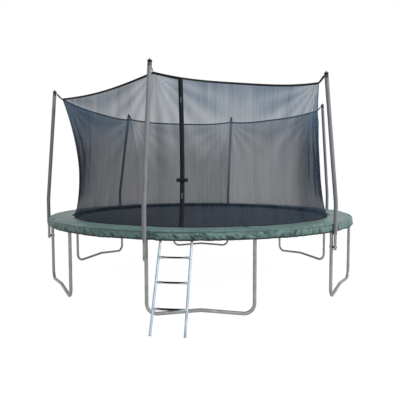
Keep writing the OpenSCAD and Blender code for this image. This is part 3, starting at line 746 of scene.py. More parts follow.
@dataclass
class JumpingMat(Assembly):
    """The mat with its sewn border, V-rings and springs."""

    springs: int = 96
    groups: int = 24
    wire: float = 0.0016
    coil: float = 0.0094
    turns: int = 28
    coil_from: float = 1.880
    coil_to: float = 2.045
    hook_in: float = 1.8639
    hook: float = 0.0043
    rail_bore: float = 2.0925

    def build(self) -> None:
        """Dresses the mat and winds the springs."""
        self.shop.dress(["mat"], Slot.MAT_FABRIC)
        self.shop.dress(["mat_border"], Slot.WEBBING)
        self.shop.dress(["v_rings"], Slot.ZINC_STEEL)
        pattern = bpy.data.meshes.new("spring_pattern")
        one = self.wind()
        one.to_mesh(pattern)
        one.free()
        each = self.springs // self.groups
        for group in range(self.groups):
            bm = bmesh.new()
            for i in range(group * each, (group + 1) * each):
                before = set(bm.verts)
                bm.from_mesh(pattern)
                bmesh.ops.transform(bm, matrix=turned_to((i + 0.5) * 360 / self.springs),
                                    verts=[v for v in bm.verts if v not in before])
            piece = self.shop.piece(f"springs_{group + 1:02d}", bm, Slot.SPRING_STEEL)
            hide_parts("springs")
            middle = (group + 0.5) * 360 / self.groups
            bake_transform(piece, "frame", "mat", polar(middle, 2.05, MAT_Z), polar(middle, 1.865, MAT_Z))
        bpy.data.meshes.remove(pattern)

    def wind(self) -> bmesh.types.BMesh:
        """Winds one spring along +X: a helix between two hooks.

        Returns:
            A new mesh with the spring.
        """
        bm = bmesh.new()
        steps = 9
        step = (self.coil_to - self.coil_from) / self.turns / steps
        ring = bmesh.ops.create_circle(bm, segments=5, radius=self.wire)["verts"]
        place = Matrix.Translation((self.coil_from, 0, MAT_Z + self.coil))
        bmesh.ops.transform(bm, matrix=place @ Matrix.Rotation(math.pi / 2, 4, "X"), verts=ring)
        edges = list({e for v in ring for e in v.link_edges})
        bmesh.ops.spin(bm, geom=ring + edges, cent=(0, 0, MAT_Z), axis=(1, 0, 0),
                       dvec=(step, 0, 0), angle=math.tau * self.turns, steps=self.turns * steps,
                       use_merge=False, use_duplicate=False)
        inner = [(self.coil_from, 0, self.coil), (self.coil_from - 0.006, 0, 0.005)]
        hook = [(self.hook_in + self.hook * math.cos(a), 0, self.hook * math.sin(a))
                for a in [math.radians(d) for d in range(70, 331, 26)]]
        self.rod(bm, [Vector(p) for p in inner + hook])
        outer = [(self.coil_to, 0, self.coil), (self.coil_to + 0.012, 0, 0.003), (self.coil_to + 0.03, 0, 0),
                 (self.rail_bore + 0.0032, 0, 0), (self.rail_bore + 0.0042, 0, 0.005)]
        self.rod(bm, [Vector(p) for p in outer])
        return bm

    def rod(self, bm: bmesh.types.BMesh, path: list[Vector]) -> None:
        """Draws a wire of the spring through the points of a path, whose heights count from the mat."""
        places = [facing(point + Vector((0, 0, MAT_Z)), heading) for point, heading in zip(path, headings(path))]
        sweep(bm, circle_points(self.wire, 5), places)


# ---- spring cover ----


@dataclass
class SpringCover(Assembly):
    """Six padded sections over the springs, each with a skirt, and the skirt's bulge at the ladder."""

    sections: int = 6
    stations: int = 280
    inner: float = 1.845
    outer: float = 2.14
    low: float = 0.84925
    inner_top: float = 0.87425
    outer_top: float = 0.86725
    skirt_low: float = 0.77925
    first: float = -15.0
    notch: float = 0.0075
    notch_half: float = 0.035
    ladder_from: float = -12.6
    ladder_to: float = -0.2
    bulge: float = 0.0300
    wall: float = 0.0015
    rim: float = 0.03
    seam_reach: float = 0.05
    seam_shade: float = 0.35
    skirt_fold: float = 0.009
    tuck: float = 0.005
    crumples: float = 0.0035
    pulls: tuple[float, float] = (0.001, 0.007)
    hem_lift: tuple[float, float] = (0.006, 0.003)
    stretched: tuple[float, float, float] = (0.004, 0.004, 0.006)

    def build(self) -> None:
        """Sews the six sections and the bulge."""
        for index in range(self.sections):
            bm = bmesh.new()
            self.sew(bm, index)
            piece = self.shop.piece(f"cover_{index + 1}", bm, Slot.PAD_COVER)
            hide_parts(f"pad_{index + 1}")
            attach(piece, "frame")
        bm = bmesh.new()
        self.sew_bulge(bm)
        piece = self.shop.piece("cover_bulge", bm, Slot.PAD_COVER)
        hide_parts("ladder_skirt")
        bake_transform(piece, "frame", "ladder", polar(-6.4, 2.15, 0.856), polar(-6.4, 2.15, 0.785))

    def profile(self) -> list[Vector]:
        """The section's outline at one azimuth: padding, piping and skirt.

        Returns:
            The outline's points, with X outwards and Z up.
        """
        top = [(mix(self.inner + 0.008, self.outer - 0.022, t / 12),
                mix(self.inner_top, self.outer_top, t / 12) + 0.004 * math.sin(math.pi * t / 12))
               for t in range(13)]
        piping = [(-0.0185, 0.0020), (-0.0155, 0.0030), (-0.0125, 0.0018), (-0.0095, -0.0008),
                  (-0.0030, -0.0022)]
        skirt = [(self.outer, self.outer_top - z) for z in (0.006, 0.009, 0.014)]
        skirt += [(self.outer, mix(self.outer_top - 0.014, self.skirt_low + 0.008, t / 8)) for t in range(1, 9)]
        skirt += [(self.outer, self.skirt_low + z) for z in (0.004, 0.0)]
        inside = [(self.outer - self.wall, mix(self.skirt_low, self.low, t / 4)) for t in range(5)]
        under = [(mix(self.outer - 0.004, self.inner + 0.002, t / 5), self.low) for t in range(6)]
        edge = [(self.inner, self.low + 0.004), (self.inner, self.inner_top - 0.006),
                (self.inner + 0.003, self.inner_top - 0.0015)]
        piped = [(self.outer + r, self.outer_top + z) for r, z in piping]
        return [Vector((r, 0, z)) for r, z in top + piped + skirt + inside + under + edge]

    def sew(self, bm: bmesh.types.BMesh, index: int) -> None:
        """Draws one section and crumples it.

        Args:
            bm: The mesh to draw in.
            index: The section's number from 0.
        """
        pole = self.first + 60 * (index if index < 4 else index - self.sections)
        half = 30 - math.degrees(0.00015 / self.inner)
        azimuths = [mix(pole - half, pole + half, i / self.stations) for i in range(self.stations + 1)]
        ends = [a + d for a in (self.ladder_from, self.ladder_to) for d in (-0.001, 0.001)]
        azimuths = sorted(azimuths + [a for a in ends if abs(a - pole) < half])
        # The first number is the painted shadow under the piping and the darker foot, the second the painted shade
        # in folds, at the seams and down the skirt.
        hem, fold = number_layers(bm, "hem", "fold")
        rows = sweep(bm, self.profile(), [turned_to(a) for a in azimuths])
        for azimuth, row in zip(azimuths, rows):
            for v in row:
                v[hem], v[fold] = self.crumple(v, azimuth, azimuth - pole)

    def crumple(self, v: bmesh.types.BMVert, azimuth: float, offset: float) -> tuple[float, float]:
        """Moves one vertex of a section by its folds.

        Args:
            v: The vertex, on the smooth section.
            azimuth: Its azimuth.
            offset: How many degrees it stands from the section's pole.

        Returns:
            How far the vertex lies in the painted shadow under the piping and in the darker foot, and how much
            painted shade it takes in folds, at the seams and down the skirt.
        """
        flat = Vector((v.co.x, v.co.y - RING_Y, 0))
        radius, height = flat.length, v.co.z
        along = math.radians(azimuth) * self.outer
        across = math.sin(math.radians(offset)) * self.outer
        at_pole = 1 - smooth(self.notch_half, self.notch_half + 0.02, abs(across))
        near_pole = 1 - smooth(0.05, 0.16, abs(across))
        at_end = 1 - smooth(0.0, self.seam_reach, (30 - abs(offset)) * math.pi / 180 * self.outer)
        hanging = (smooth(self.outer_top - 0.004, self.outer_top - self.rim, height)
                   * smooth(self.outer - self.rim, self.outer - 0.004, radius))
        push, lift, hem = 0.0, 0.0, 0.0
        # Painted shade at the seams between sections.
        fold = self.seam_shade * at_end
        if height > self.low + 0.002 and hanging < 0.5:
            edgeward = smooth(self.inner, self.outer - self.rim, radius)
            pull = crease(along * 9 + radius * 14, radius * 5, 9)
            lift += self.crumples * ripple(along * 3, radius * 9) * (1 - at_end)
            lift += mix(*self.pulls, edgeward) * pull * (1 - at_pole)
            lift -= self.tuck * at_end
            # Painted shade between the raised pulls near the outer edge of the top.
            shaded = smooth(0.0, 0.35, ripple(along * 7, radius * 12, 2))
            fold = max(fold, 0.3 * edgeward * smooth(0.3, 0.0, pull) * shaded)
        if hanging > 0:
            deep = smooth(self.outer_top - 0.01, self.skirt_low, height)
            bend, ridge = self.hanging_folds(azimuth, height)
            push += hanging * (self.skirt_fold * bend + self.skirt_fold * ridge) * (1 - 0.85 * near_pole)
            lift += deep * self.hem_wave(along)
            # Painted shade in the skirt's inward folds, and more of it towards the foot.
            fold = max(fold, hanging * (0.9 * smooth(0.2, -0.4, bend) * (1 - ridge) + 0.2 * deep))
            # Painted shadow under the piping, and the skirt darker at its foot.
            hem = self.piping_shadow_and_foot(height)
            if self.ladder_from < azimuth < self.ladder_to:
                v.co.z = max(height, self.low - 0.0006)
                push, lift = 0.0, 0.0
        if radius > self.outer - self.rim:
            push -= self.notch * at_pole
        v.co += flat.normalized() * push + Vector((0, 0, lift))
        return hem, min(fold, 1.0)

    def hem_wave(self, along: float) -> float:
        """How far the hem of the skirt is lifted, that many metres along it."""
        slow, quick = self.hem_lift
        return slow * ripple(along * 5, 0.3, 7) + quick * ripple(along * 17, 0.9)

    def piping_shadow_and_foot(self, height: float) -> float:
        """How far a height on the skirt lies in the painted shadow under the piping at its top, and in the darker
        band at its foot.
        """
        top = smooth(self.outer_top - 0.017, self.outer_top - 0.010, height)
        foot = smooth(self.skirt_low + 0.026, self.skirt_low + 0.008, height)
        return max(0.65 * top, 0.9 * foot)

    def hanging_folds(self, azimuth: float, height: float, seed: float = 3.0) -> tuple[float, float]:
        """Slanted folds of the skirt at a place.

        Args:
            azimuth: The place's azimuth.
            height: Its height.
            seed: The layer of noise that they are read from.

        Returns:
            A soft bend from -1 to 1 and a sharp ridge from 0 to 1.
        """
        along = math.radians(azimuth) * self.outer
        slant = mix(1.25, -1.0, smooth(5.0, 60.0, azimuth))
        u, w = along + slant * height, along - slant * height
        bend = 0.7 * ripple(u * 19, w * 5, seed) + 0.5 * ripple(u * 37, w * 10, seed + 1)
        return bend * 1.5, crease(u * 18, w * 5, seed + 2)

    def sew_bulge(self, bm: bmesh.types.BMesh) -> None:
        """Draws the stretch of skirt that the ladder's rails push out.

        The sweep's radius is first a share: 0 under the padding, 1 on the skirt's outer face.

        Args:
            bm: The mesh to draw in.
        """
        count = 110
        azimuths = [mix(self.ladder_from + 0.012, self.ladder_to - 0.012, i / count) for i in range(count + 1)]
        top = self.outer_top - 0.006
        level, soft, sharp = self.stretched
        outside = [(t / 3, top + 0.001 - 0.005 * (t / 3) ** 2) for t in range(4)]
        outside += [(1, mix(top - 0.006, self.skirt_low + 0.008, t / 8)) for t in range(1, 9)]
        outside += [(1, self.skirt_low + z) for z in (0.004, 0.0)]
        inside = [(1, mix(self.skirt_low, top - 0.008, t / 4)) for t in range(5)]
        points = [Vector((s, 0, z)) for s, z in outside]
        points += [Vector((s - 0.1, 0, z - (self.wall if t == 4 else 0))) for t, (s, z) in enumerate(inside)]
        # The first number is the painted shadow under the piping and the darker foot, the second the painted shade
        # in folds, at the seams and down the skirt.
        hem, fold = number_layers(bm, "hem", "fold")
        rows = sweep(bm, points, [turned_to(a) for a in azimuths])
        for azimuth, row in zip(azimuths, rows):
            out = (smooth(self.ladder_from, self.ladder_from + 1.3, azimuth)
                   * smooth(self.ladder_to, self.ladder_to - 1.3, azimuth))
            along = math.radians(azimuth) * self.outer
            for v in row:
                share = math.hypot(v.co.x, v.co.y - RING_Y)
                inner = share < 0.95
                deep = smooth(top, self.skirt_low, v.co.z)
                bend, ridge = self.hanging_folds(azimuth, v.co.z)
                reach = share / 0.9 if inner else share
                radius = self.outer + 0.0003 + self.bulge * out * min(reach, 1)
                radius -= self.wall if inner and share > 0.5 else 0
                hanging = smooth(0.0, 0.3, deep)
                slack = self.skirt_fold * bend + self.skirt_fold * ridge
                radius += hanging * mix(slack, level + soft * bend + sharp * ridge, out)
                z = v.co.z + deep * self.hem_wave(along)
                # Painted shadow under the piping, and the skirt darker at its foot.
                v[hem] = self.piping_shadow_and_foot(v.co.z)
                # Painted shade in the skirt's inward folds, and more of it towards the foot.
                v[fold] = min(hanging * 0.9 * smooth(0.2, -0.4, bend) * (1 - ridge) + 0.2 * deep, 1.0)
                v.co = polar(azimuth, radius, z)


# ---- poles ----


@dataclass
class Poles(Assembly):
    """Six poles that lean in: their tubes keep their shapes, their foam sleeves are new."""

    count: int = 6
    first: float = -15.0
    radius: float = 2.156
    bend: float = 1.1
    top: float = 2.535
    lean: float = 0.113
    sway: tuple[float, ...] = (0.03, -0.05, 0.0, -0.08, -0.14, 0.0)
    sleeve: float = 0.0232
    sleeve_low: float = 0.775
    sleeve_high: float = 2.502
    sleeve_slim: float = 0.008
    sleeve_uneven: tuple[float, float] = (0.007, 0.006)
    stations: int = 70

    def build(self) -> None:
        """Dresses tubes, caps, spacers and bolts and pulls the sleeves over the poles."""
        self.shop.dress(["pole_lower_tubes", "pole_upper_tubes"], Slot.GALVANISED_TUBE)
        self.shop.dress(["pole_caps", "pole_spacers"], Slot.BLACK_PLASTIC)
        self.shop.dress(["pole_bolts"], Slot.BLACK_STEEL)
        for index in range(self.count):
            bm = bmesh.new()
            self.pull_over(bm, index)
            piece = self.shop.piece(f"sleeve_{index + 1}", bm, Slot.FOAM_SLEEVE)
            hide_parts("pole_sleeves")
            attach(piece, "frame")

    def middle(self, index: int, height: float) -> Vector:
        """The middle of a pole, with a soft bend where it starts to lean.

        Args:
            index: The pole's number from 0.
            height: The height.

        Returns:
            The point at that height.
        """
        share = (height - self.bend) / (self.top - self.bend)
        soft = max(share, 0.0) if abs(share) > 0.01 else (share + 0.01) ** 2 / 0.04
        return polar(self.first + 60 * index, self.radius - self.lean * soft, height, self.sway[index] * soft)

    def place(self, index: int, height: float) -> Matrix:
        """The place on a pole's middle whose +Z runs up along it."""
        heading = self.middle(index, height + 0.004) - self.middle(index, height - 0.004)
        return facing(self.middle(index, height), heading)

    def pull_over(self, bm: bmesh.types.BMesh, index: int) -> None:
        """Draws one sleeve, drawn in at its ends and a little uneven along its length.

        Args:
            bm: The mesh to draw in.
            index: The pole's number from 0.
        """
        low, high = self.sleeve_low, self.sleeve_high
        long, short = self.sleeve_uneven
        heights = [low + d for d in (0.0, 0.002, 0.006)]
        heights += [mix(low, high, i / self.stations) for i in range(1, self.stations)]
        heights += [mix(low, high, 1) - d for d in (0.006, 0.002, 0.0)]
        rows = sweep(bm, circle_points(self.sleeve, 24), [self.place(index, h) for h in heights])
        for height, row in zip(heights, rows):
            middle = self.middle(index, height)
            from_end = min(height - low, high - height)
            drawn = 0.86 + 0.14 * smooth(0.0, 0.006, from_end) if from_end < 0.006 else 1.0
            for v in row:
                out = v.co - middle
                turn = math.atan2(out.y, out.x)
                uneven = (long * ripple(height * 7 + index * 5, turn * 1.5, index)
                          + short * ripple(height * 30, turn * 2, 4))
                v.co = middle + out * (drawn + uneven - self.sleeve_slim)


# ---- safety net ----


@dataclass
class SafetyNet(Assembly):
    """Six panels of mesh between the poles, their hems, and the straps from the poles' caps."""

    poles: Poles
    low: float = 0.8283
    panel_width: float = 1.93
    panel_height: float = 1.6
    corner_height: float = 2.465
    corner_radius: float = 1.948
    edge_radius: float = 1.838
    draw_in: float = 0.141
    draw_share: float = 0.2
    sag: float = 0.059
    corner_power: float = 2.3
    hem_power: float = 3.5
    taut_sag: float = 0.05
    taut_power: float = 2.0
    door: float = -6.4
    half_zip: float = 0.0248
    cad_rows: tuple[float, ...] = (0, 0.06, 0.13, 0.2, 0.42, 0.7, 1)
    lower_hem: float = 0.05
    upper_hem: float = 0.016
    columns: int = 190
    rows: int = 64
    # Painted sunlight on each panel, at its foot and at its top: the rear panels are painted lighter.
    painted_sun: tuple[tuple[float, float], ...] = ((0, 0), (0, 0), (0.95, 0.8), (0.2, 0.6), (0.12, 0.1), (0, 0))
    drawn: tuple[float, ...] = (0.15, 0.15, 0.12, 0.12, 0.12, 0.10)
    closer: float = 0.05
    closer_beside: float = 0.09
    closer_at_corner: float = 0.02
    # The mesh is thinned where painted sunlight lies, so that more white shows through it.
    sunlit_thinning: float = 0.15
    gather_depth: float = 0.010
    fan_depth: float = 0.011
    fan_rays: float = 17
    foot_depth: float = 0.003
    pleat_depth: float = 0.0065
    pleat_turns: float = 118
    neck_height: float = 2.542
    neck_loop: tuple[float, float] = (0.0183, 0.0208)
    cap_radius: float = 0.0195
    strap_half: float = 0.012
    strap_thick: float = 0.002
    strap_sag: float = 0.006
    strap_twist: float = 0.95
    knot: float = 0.011

    def build(self) -> None:
        """Hangs the panels, sews their hems and ties the corners."""
        for panel in range(6):
            if panel == 0:
                share = self.door_share()
                self.hang("net_1_left", panel, 0.0, share, (0, -1))
                self.hang("net_1_right", panel, share, 1.0, (1, 0))
            else:
                self.hang(f"net_{panel + 1}", panel, 0.0, 1.0, (0, 0))
            self.bind(panel)
        for corner in range(6):
            self.tie(corner)

    def corner(self, index: int) -> tuple[float, float]:
        """The radius and azimuth of a corner of the net."""
        sway = self.poles.sway[index % 6]
        return (math.hypot(self.corner_radius, sway),
                self.poles.first + 60 * index + math.degrees(math.atan2(sway, self.corner_radius)))

    def door_share(self) -> float:
        """Where the door's zip stands between the first two corners."""
        left, right = self.corner(0)[1], self.corner(1)[1]
        return (self.door - left) / (right - left)

    def chord(self, panel: int, azimuth: float) -> float:
        """The straight line between a panel's corners.

        Args:
            panel: The panel's number from 0.
            azimuth: Where it is asked for.

        Returns:
            Its radius there.
        """
        def sine(degrees: float) -> float:
            """The sine of an angle in degrees."""
            return math.sin(math.radians(degrees))

        (ra, aa), (rb, ab) = self.corner(panel), self.corner(panel + 1)
        return ra * rb * sine(ab - aa) / (ra * sine(azimuth - aa) + rb * sine(ab - azimuth))

    def waist(self, s: float) -> float:
        """Radius of the net at a share of its height, if it had no corners."""
        return self.edge_radius - self.draw_in * (1 - math.exp(-s / self.draw_share))

    def radius(self, panel: int, azimuth: float, s: float) -> float:
        """Radius of the net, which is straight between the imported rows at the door.

        Args:
            panel: The panel's number from 0.
            azimuth: The azimuth of the place.
            s: Its share of the net's height.

        Returns:
            The radius.
        """
        reach = self.chord(panel, azimuth) - self.waist(1)

        def curve(t: float) -> float:
            """The radius at a share of the height, away from the door."""
            return self.waist(t) + reach * t ** self.corner_power

        at_door = 1 - smooth(1.6, 7.0, abs(azimuth - self.door)) if panel == 0 else 0.0
        if at_door <= 0:
            return curve(s)
        row = max(i for i in range(len(self.cad_rows) - 1) if s >= self.cad_rows[i])
        below, above = self.cad_rows[row], self.cad_rows[row + 1]
        return mix(curve(s), mix(curve(below), curve(above), (s - below) / (above - below)), at_door)

    def top(self, share: float, panel: int = 0) -> float:
        """Height of the upper edge at a share of the way between two corners."""
        sag, power = (self.taut_sag, self.taut_power) if panel == 5 else (self.sag, self.hem_power)
        return self.corner_height - sag * (1 - abs(2 * share - 1) ** power)

    def from_corner(self, share: float, s: float) -> tuple[float, float, float]:
        """Where a place lies from the nearer upper corner of its panel.

        Args:
            share: The place's share of the way along the panel.
            s: Its share of the net's height.

        Returns:
            The share of the way to that corner's side, the distance, and the direction in radians.
        """
        side = min(share, 1 - share)
        across, down = side * self.panel_width, (1 - s) * self.panel_height
        return side, math.hypot(across, down), math.atan2(down, across + 0.01)

    def folds(self, panel: int, share: float, s: float) -> float:
        """How far the gathers and pulls move the mesh outwards.

        Args:
            panel: The panel's number from 0.
            share: The share of the way along it.
            s: The share of the net's height.

        Returns:
            The metres outwards.
        """
        side, near, turn = self.from_corner(share, s)
        along = (panel + share) * self.panel_width
        loose = math.sin(math.pi * min(max(s, 0), 1)) ** 0.5 * smooth(0.0, 0.03, side)
        gather = self.gather_depth * ripple(along * 9, s * 1.6, panel) * loose
        fan = self.fan_depth * math.sin(turn * self.fan_rays + panel)
        fan *= smooth(0.0, 0.25, near) * (1 - smooth(0.5, 1.25, near)) * loose
        foot = self.foot_depth * ripple(along * 22, s * 5, panel + 2)
        foot *= (1 - smooth(0.05, 0.25, s)) * smooth(0.02, 0.06, s)
        wander = 2.6 * ripple(along * 4, s * 1.2, panel)
        pleat = self.pleat_depth * math.sin(along * self.pleat_turns + wander)
        return gather + fan + foot + pleat * loose * smooth(0.02, 0.25, s)

    def point(self, panel: int, share: float, s: float, side: float = 0.0) -> Vector:
        """A point of the net.

        Args:
            panel: The panel's number from 0.
            share: The share of the way along it.
            s: The share of the net's height.
            side: How far the point is moved sideways.

        Returns:
            The point.
        """
        azimuth = mix(self.corner(panel)[1], self.corner(panel + 1)[1], share)
        at_door = 1 - smooth(0.02, 0.12, abs(share - self.door_share())) if panel == 0 else 0.0
        out = self.folds(panel, share, s) * (1 - at_door) * smooth(1.0, 0.985, s)
        return polar(azimuth, self.radius(panel, azimuth, s) + out, mix(self.low, self.top(share, panel), s), side)

    def gathered(self, panel: int, share: float, s: float) -> float:
        """How much closer the mesh lies than where it is flat.

        Args:
            panel: The panel's number from 0.
            share: The share of the way along it.
            s: The share of the net's height.

        Returns:
            The share that its threads cover more.
        """
        side, near, turn = self.from_corner(share, s)
        fan = self.closer * math.sin(turn * self.fan_rays + panel + 0.8) * (1 - smooth(0.5, 1.3, near))
        foot = self.closer * (1 - smooth(0.02, 0.12, s))
        edge = self.closer * (1 - smooth(0.0, 0.05, side))
        azimuth = mix(self.corner(panel)[1], self.corner(panel + 1)[1], share)
        tight = self.closer_beside * math.sin(math.radians(azimuth)) ** 4
        drawn = self.drawn[panel] * smooth(0.0, 0.22, side) * smooth(0.7, 0.93, s)
        return fan + foot + edge + tight + drawn + self.closer_at_corner * (1 - smooth(0.0, 0.3, near))

    def painted_sunlight(self, panel: int, share: float, s: float) -> float:
        """How far painted sunlight lightens the mesh.

        Args:
            panel: The panel's number from 0.
            share: The share of the way along it.
            s: The share of the net's height.

        Returns:
            The share, which is highest on the third panel and next highest on the fourth.
        """
        low, high = self.painted_sun[panel]
        inward = smooth(0.0, 0.3, share if panel < 3 else 1.0)
        inward *= smooth(1.0, 0.5, share if panel > 3 else 0.0)
        return inward * mix(low, high, smooth(0.5, 0.85, s))

    def hang(self, name: str, panel: int, start: float, end: float, sides: tuple[int, int]) -> None:
        """Hangs one stretch of mesh, with a woven band along both its edges.

        Args:
            name: The piece's name.
            panel: The panel that it belongs to.
            start: Its left edge's share of the way along the panel.
            end: Its right edge's share.
            sides: How many half widths of the zip each edge is moved.
        """
        width, height = (end - start) * 2.0, 1.65
        columns = max(12, round(self.columns * (end - start)))
        hem, high = self.lower_hem / self.panel_height, 1 - self.upper_hem / self.panel_height
        levels = [0, 0.5 * hem] + [mix(hem, high, i / self.rows) for i in range(self.rows + 1)] + [1.0]
        last = len(levels) - 1

        def place(u: float, w: float) -> Vector:
            """The point at a share along and a share up."""
            return self.point(panel, mix(start, end, u), levels[round(w * last)],
                              mix(sides[0], sides[1], u) * self.half_zip)

        bm = bmesh.new()
        gather, painted_sun = number_layers(bm, "gather", "painted_sun")
        shares = sheet_grid(bm, columns, last, place, (width, height))
        for v, u, w in shares:
            spot = (panel, mix(start, end, u), levels[round(w * last)])
            # Painted sunlight on the rear panels, whose mesh is thinned there as well.
            v[painted_sun] = self.painted_sunlight(*spot)
            v[gather] = self.gathered(*spot) - self.sunlit_thinning * v[painted_sun]
        heights = {v: round(w * last) for v, u, w in shares}
        for face in bm.faces:
            row = min(heights[v] for v in face.verts)
            face.material_index = 1 if row < 2 or row >= last - 1 else 0
        piece = self.shop.piece(name, bm, Slot.NET_MESH, Slot.WEBBING, closed=False)
        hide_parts(f"net_panel_{panel + 1}")
        self.settle(piece)

    def settle(self, piece: bpy.types.Object) -> None:
        """Lets a piece's lower end follow the mat."""
        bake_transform(piece, "frame", "mat", (0, 0, 1.19), (0, 0, 0.84))

    def bind(self, panel: int) -> None:
        """Sews a cord into the upper edge of a panel.

        Args:
            panel: The panel's number from 0.
        """
        count = 60
        points = [self.point(panel, i / count, 1.0) for i in range(count + 1)]
        bm = bmesh.new()
        places = [Matrix.Translation(point) @ heading.to_track_quat("Z", "Y").to_matrix().to_4x4()
                  for point, heading in zip(points, headings(points))]
        sweep(bm, [Vector((p.x * 0.6, p.y, 0)) for p in circle_points(0.008, 8)], places)
        piece = self.shop.piece(f"net_edge_{panel + 1}", bm, Slot.WEBBING)
        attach(piece, "frame")

    def tie(self, index: int) -> None:
        """Ties a corner of the net to its pole's cap with a webbing strap and a loop.

        Args:
            index: The pole's number from 0.
        """
        poles = self.poles
        azimuth = poles.first + 60 * index
        bm = bmesh.new()
        near, far = self.neck_loop
        band = [(near, -0.005), (far, -0.005), (far, 0.005), (near, 0.005)]
        edges = outline(bm, [Vector((x, 0, z)) for x, z in band])
        bmesh.ops.spin(bm, geom=[v for e in edges for v in e.verts[:1]] + edges, cent=(0, 0, 0), axis=(0, 0, 1),
                       angle=math.tau, steps=28, use_merge=True, use_duplicate=False)
        bmesh.ops.transform(bm, matrix=poles.place(index, self.neck_height), verts=bm.verts)
        share = (self.neck_height - poles.bend) / (poles.top - poles.bend)
        high = (poles.radius - poles.lean * share - self.cap_radius, poles.sway[index] * share, self.neck_height)
        low = (self.corner_radius + 0.0025, poles.sway[index], self.corner_height - 0.002)
        slope = math.atan2(high[2] - low[2], high[0] - low[0])
        places = []
        for t in [i / 12 for i in range(13)]:
            x, y, z = (mix(a, b, t) for a, b in zip(high, low))
            z -= self.strap_sag * math.sin(math.pi * t)
            wide = mix(1.0, 0.8, smooth(0.5, 1.0, t)) * mix(0.5, 1.0, smooth(0.0, 0.25, t))
            twist = self.strap_twist * smooth(0.0, 0.3, t)
            places.append(Matrix.Translation(polar(azimuth, x, z, y))
                          @ Matrix.Rotation(math.radians(azimuth - 90), 4, "Z")
                          @ Matrix.Rotation(-slope - math.pi / 2, 4, "Y") @ Matrix.Rotation(twist, 4, "Z")
                          @ Matrix.Diagonal((1, wide, 1, 1)))
        thick, half = self.strap_thick, self.strap_half
        band = [(thick, -half), (thick, half), (-thick, half), (-thick, -half)]
        sweep(bm, [Vector((x, y, 0)) for x, y in band], places)
        bmesh.ops.create_uvsphere(bm, u_segments=14, v_segments=8, radius=self.knot, matrix=places[-1])
        piece = self.shop.piece(f"corner_strap_{index + 1}", bm, Slot.WEBBING)
        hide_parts("corner_straps")
        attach(piece, "frame")


# ---- door ----


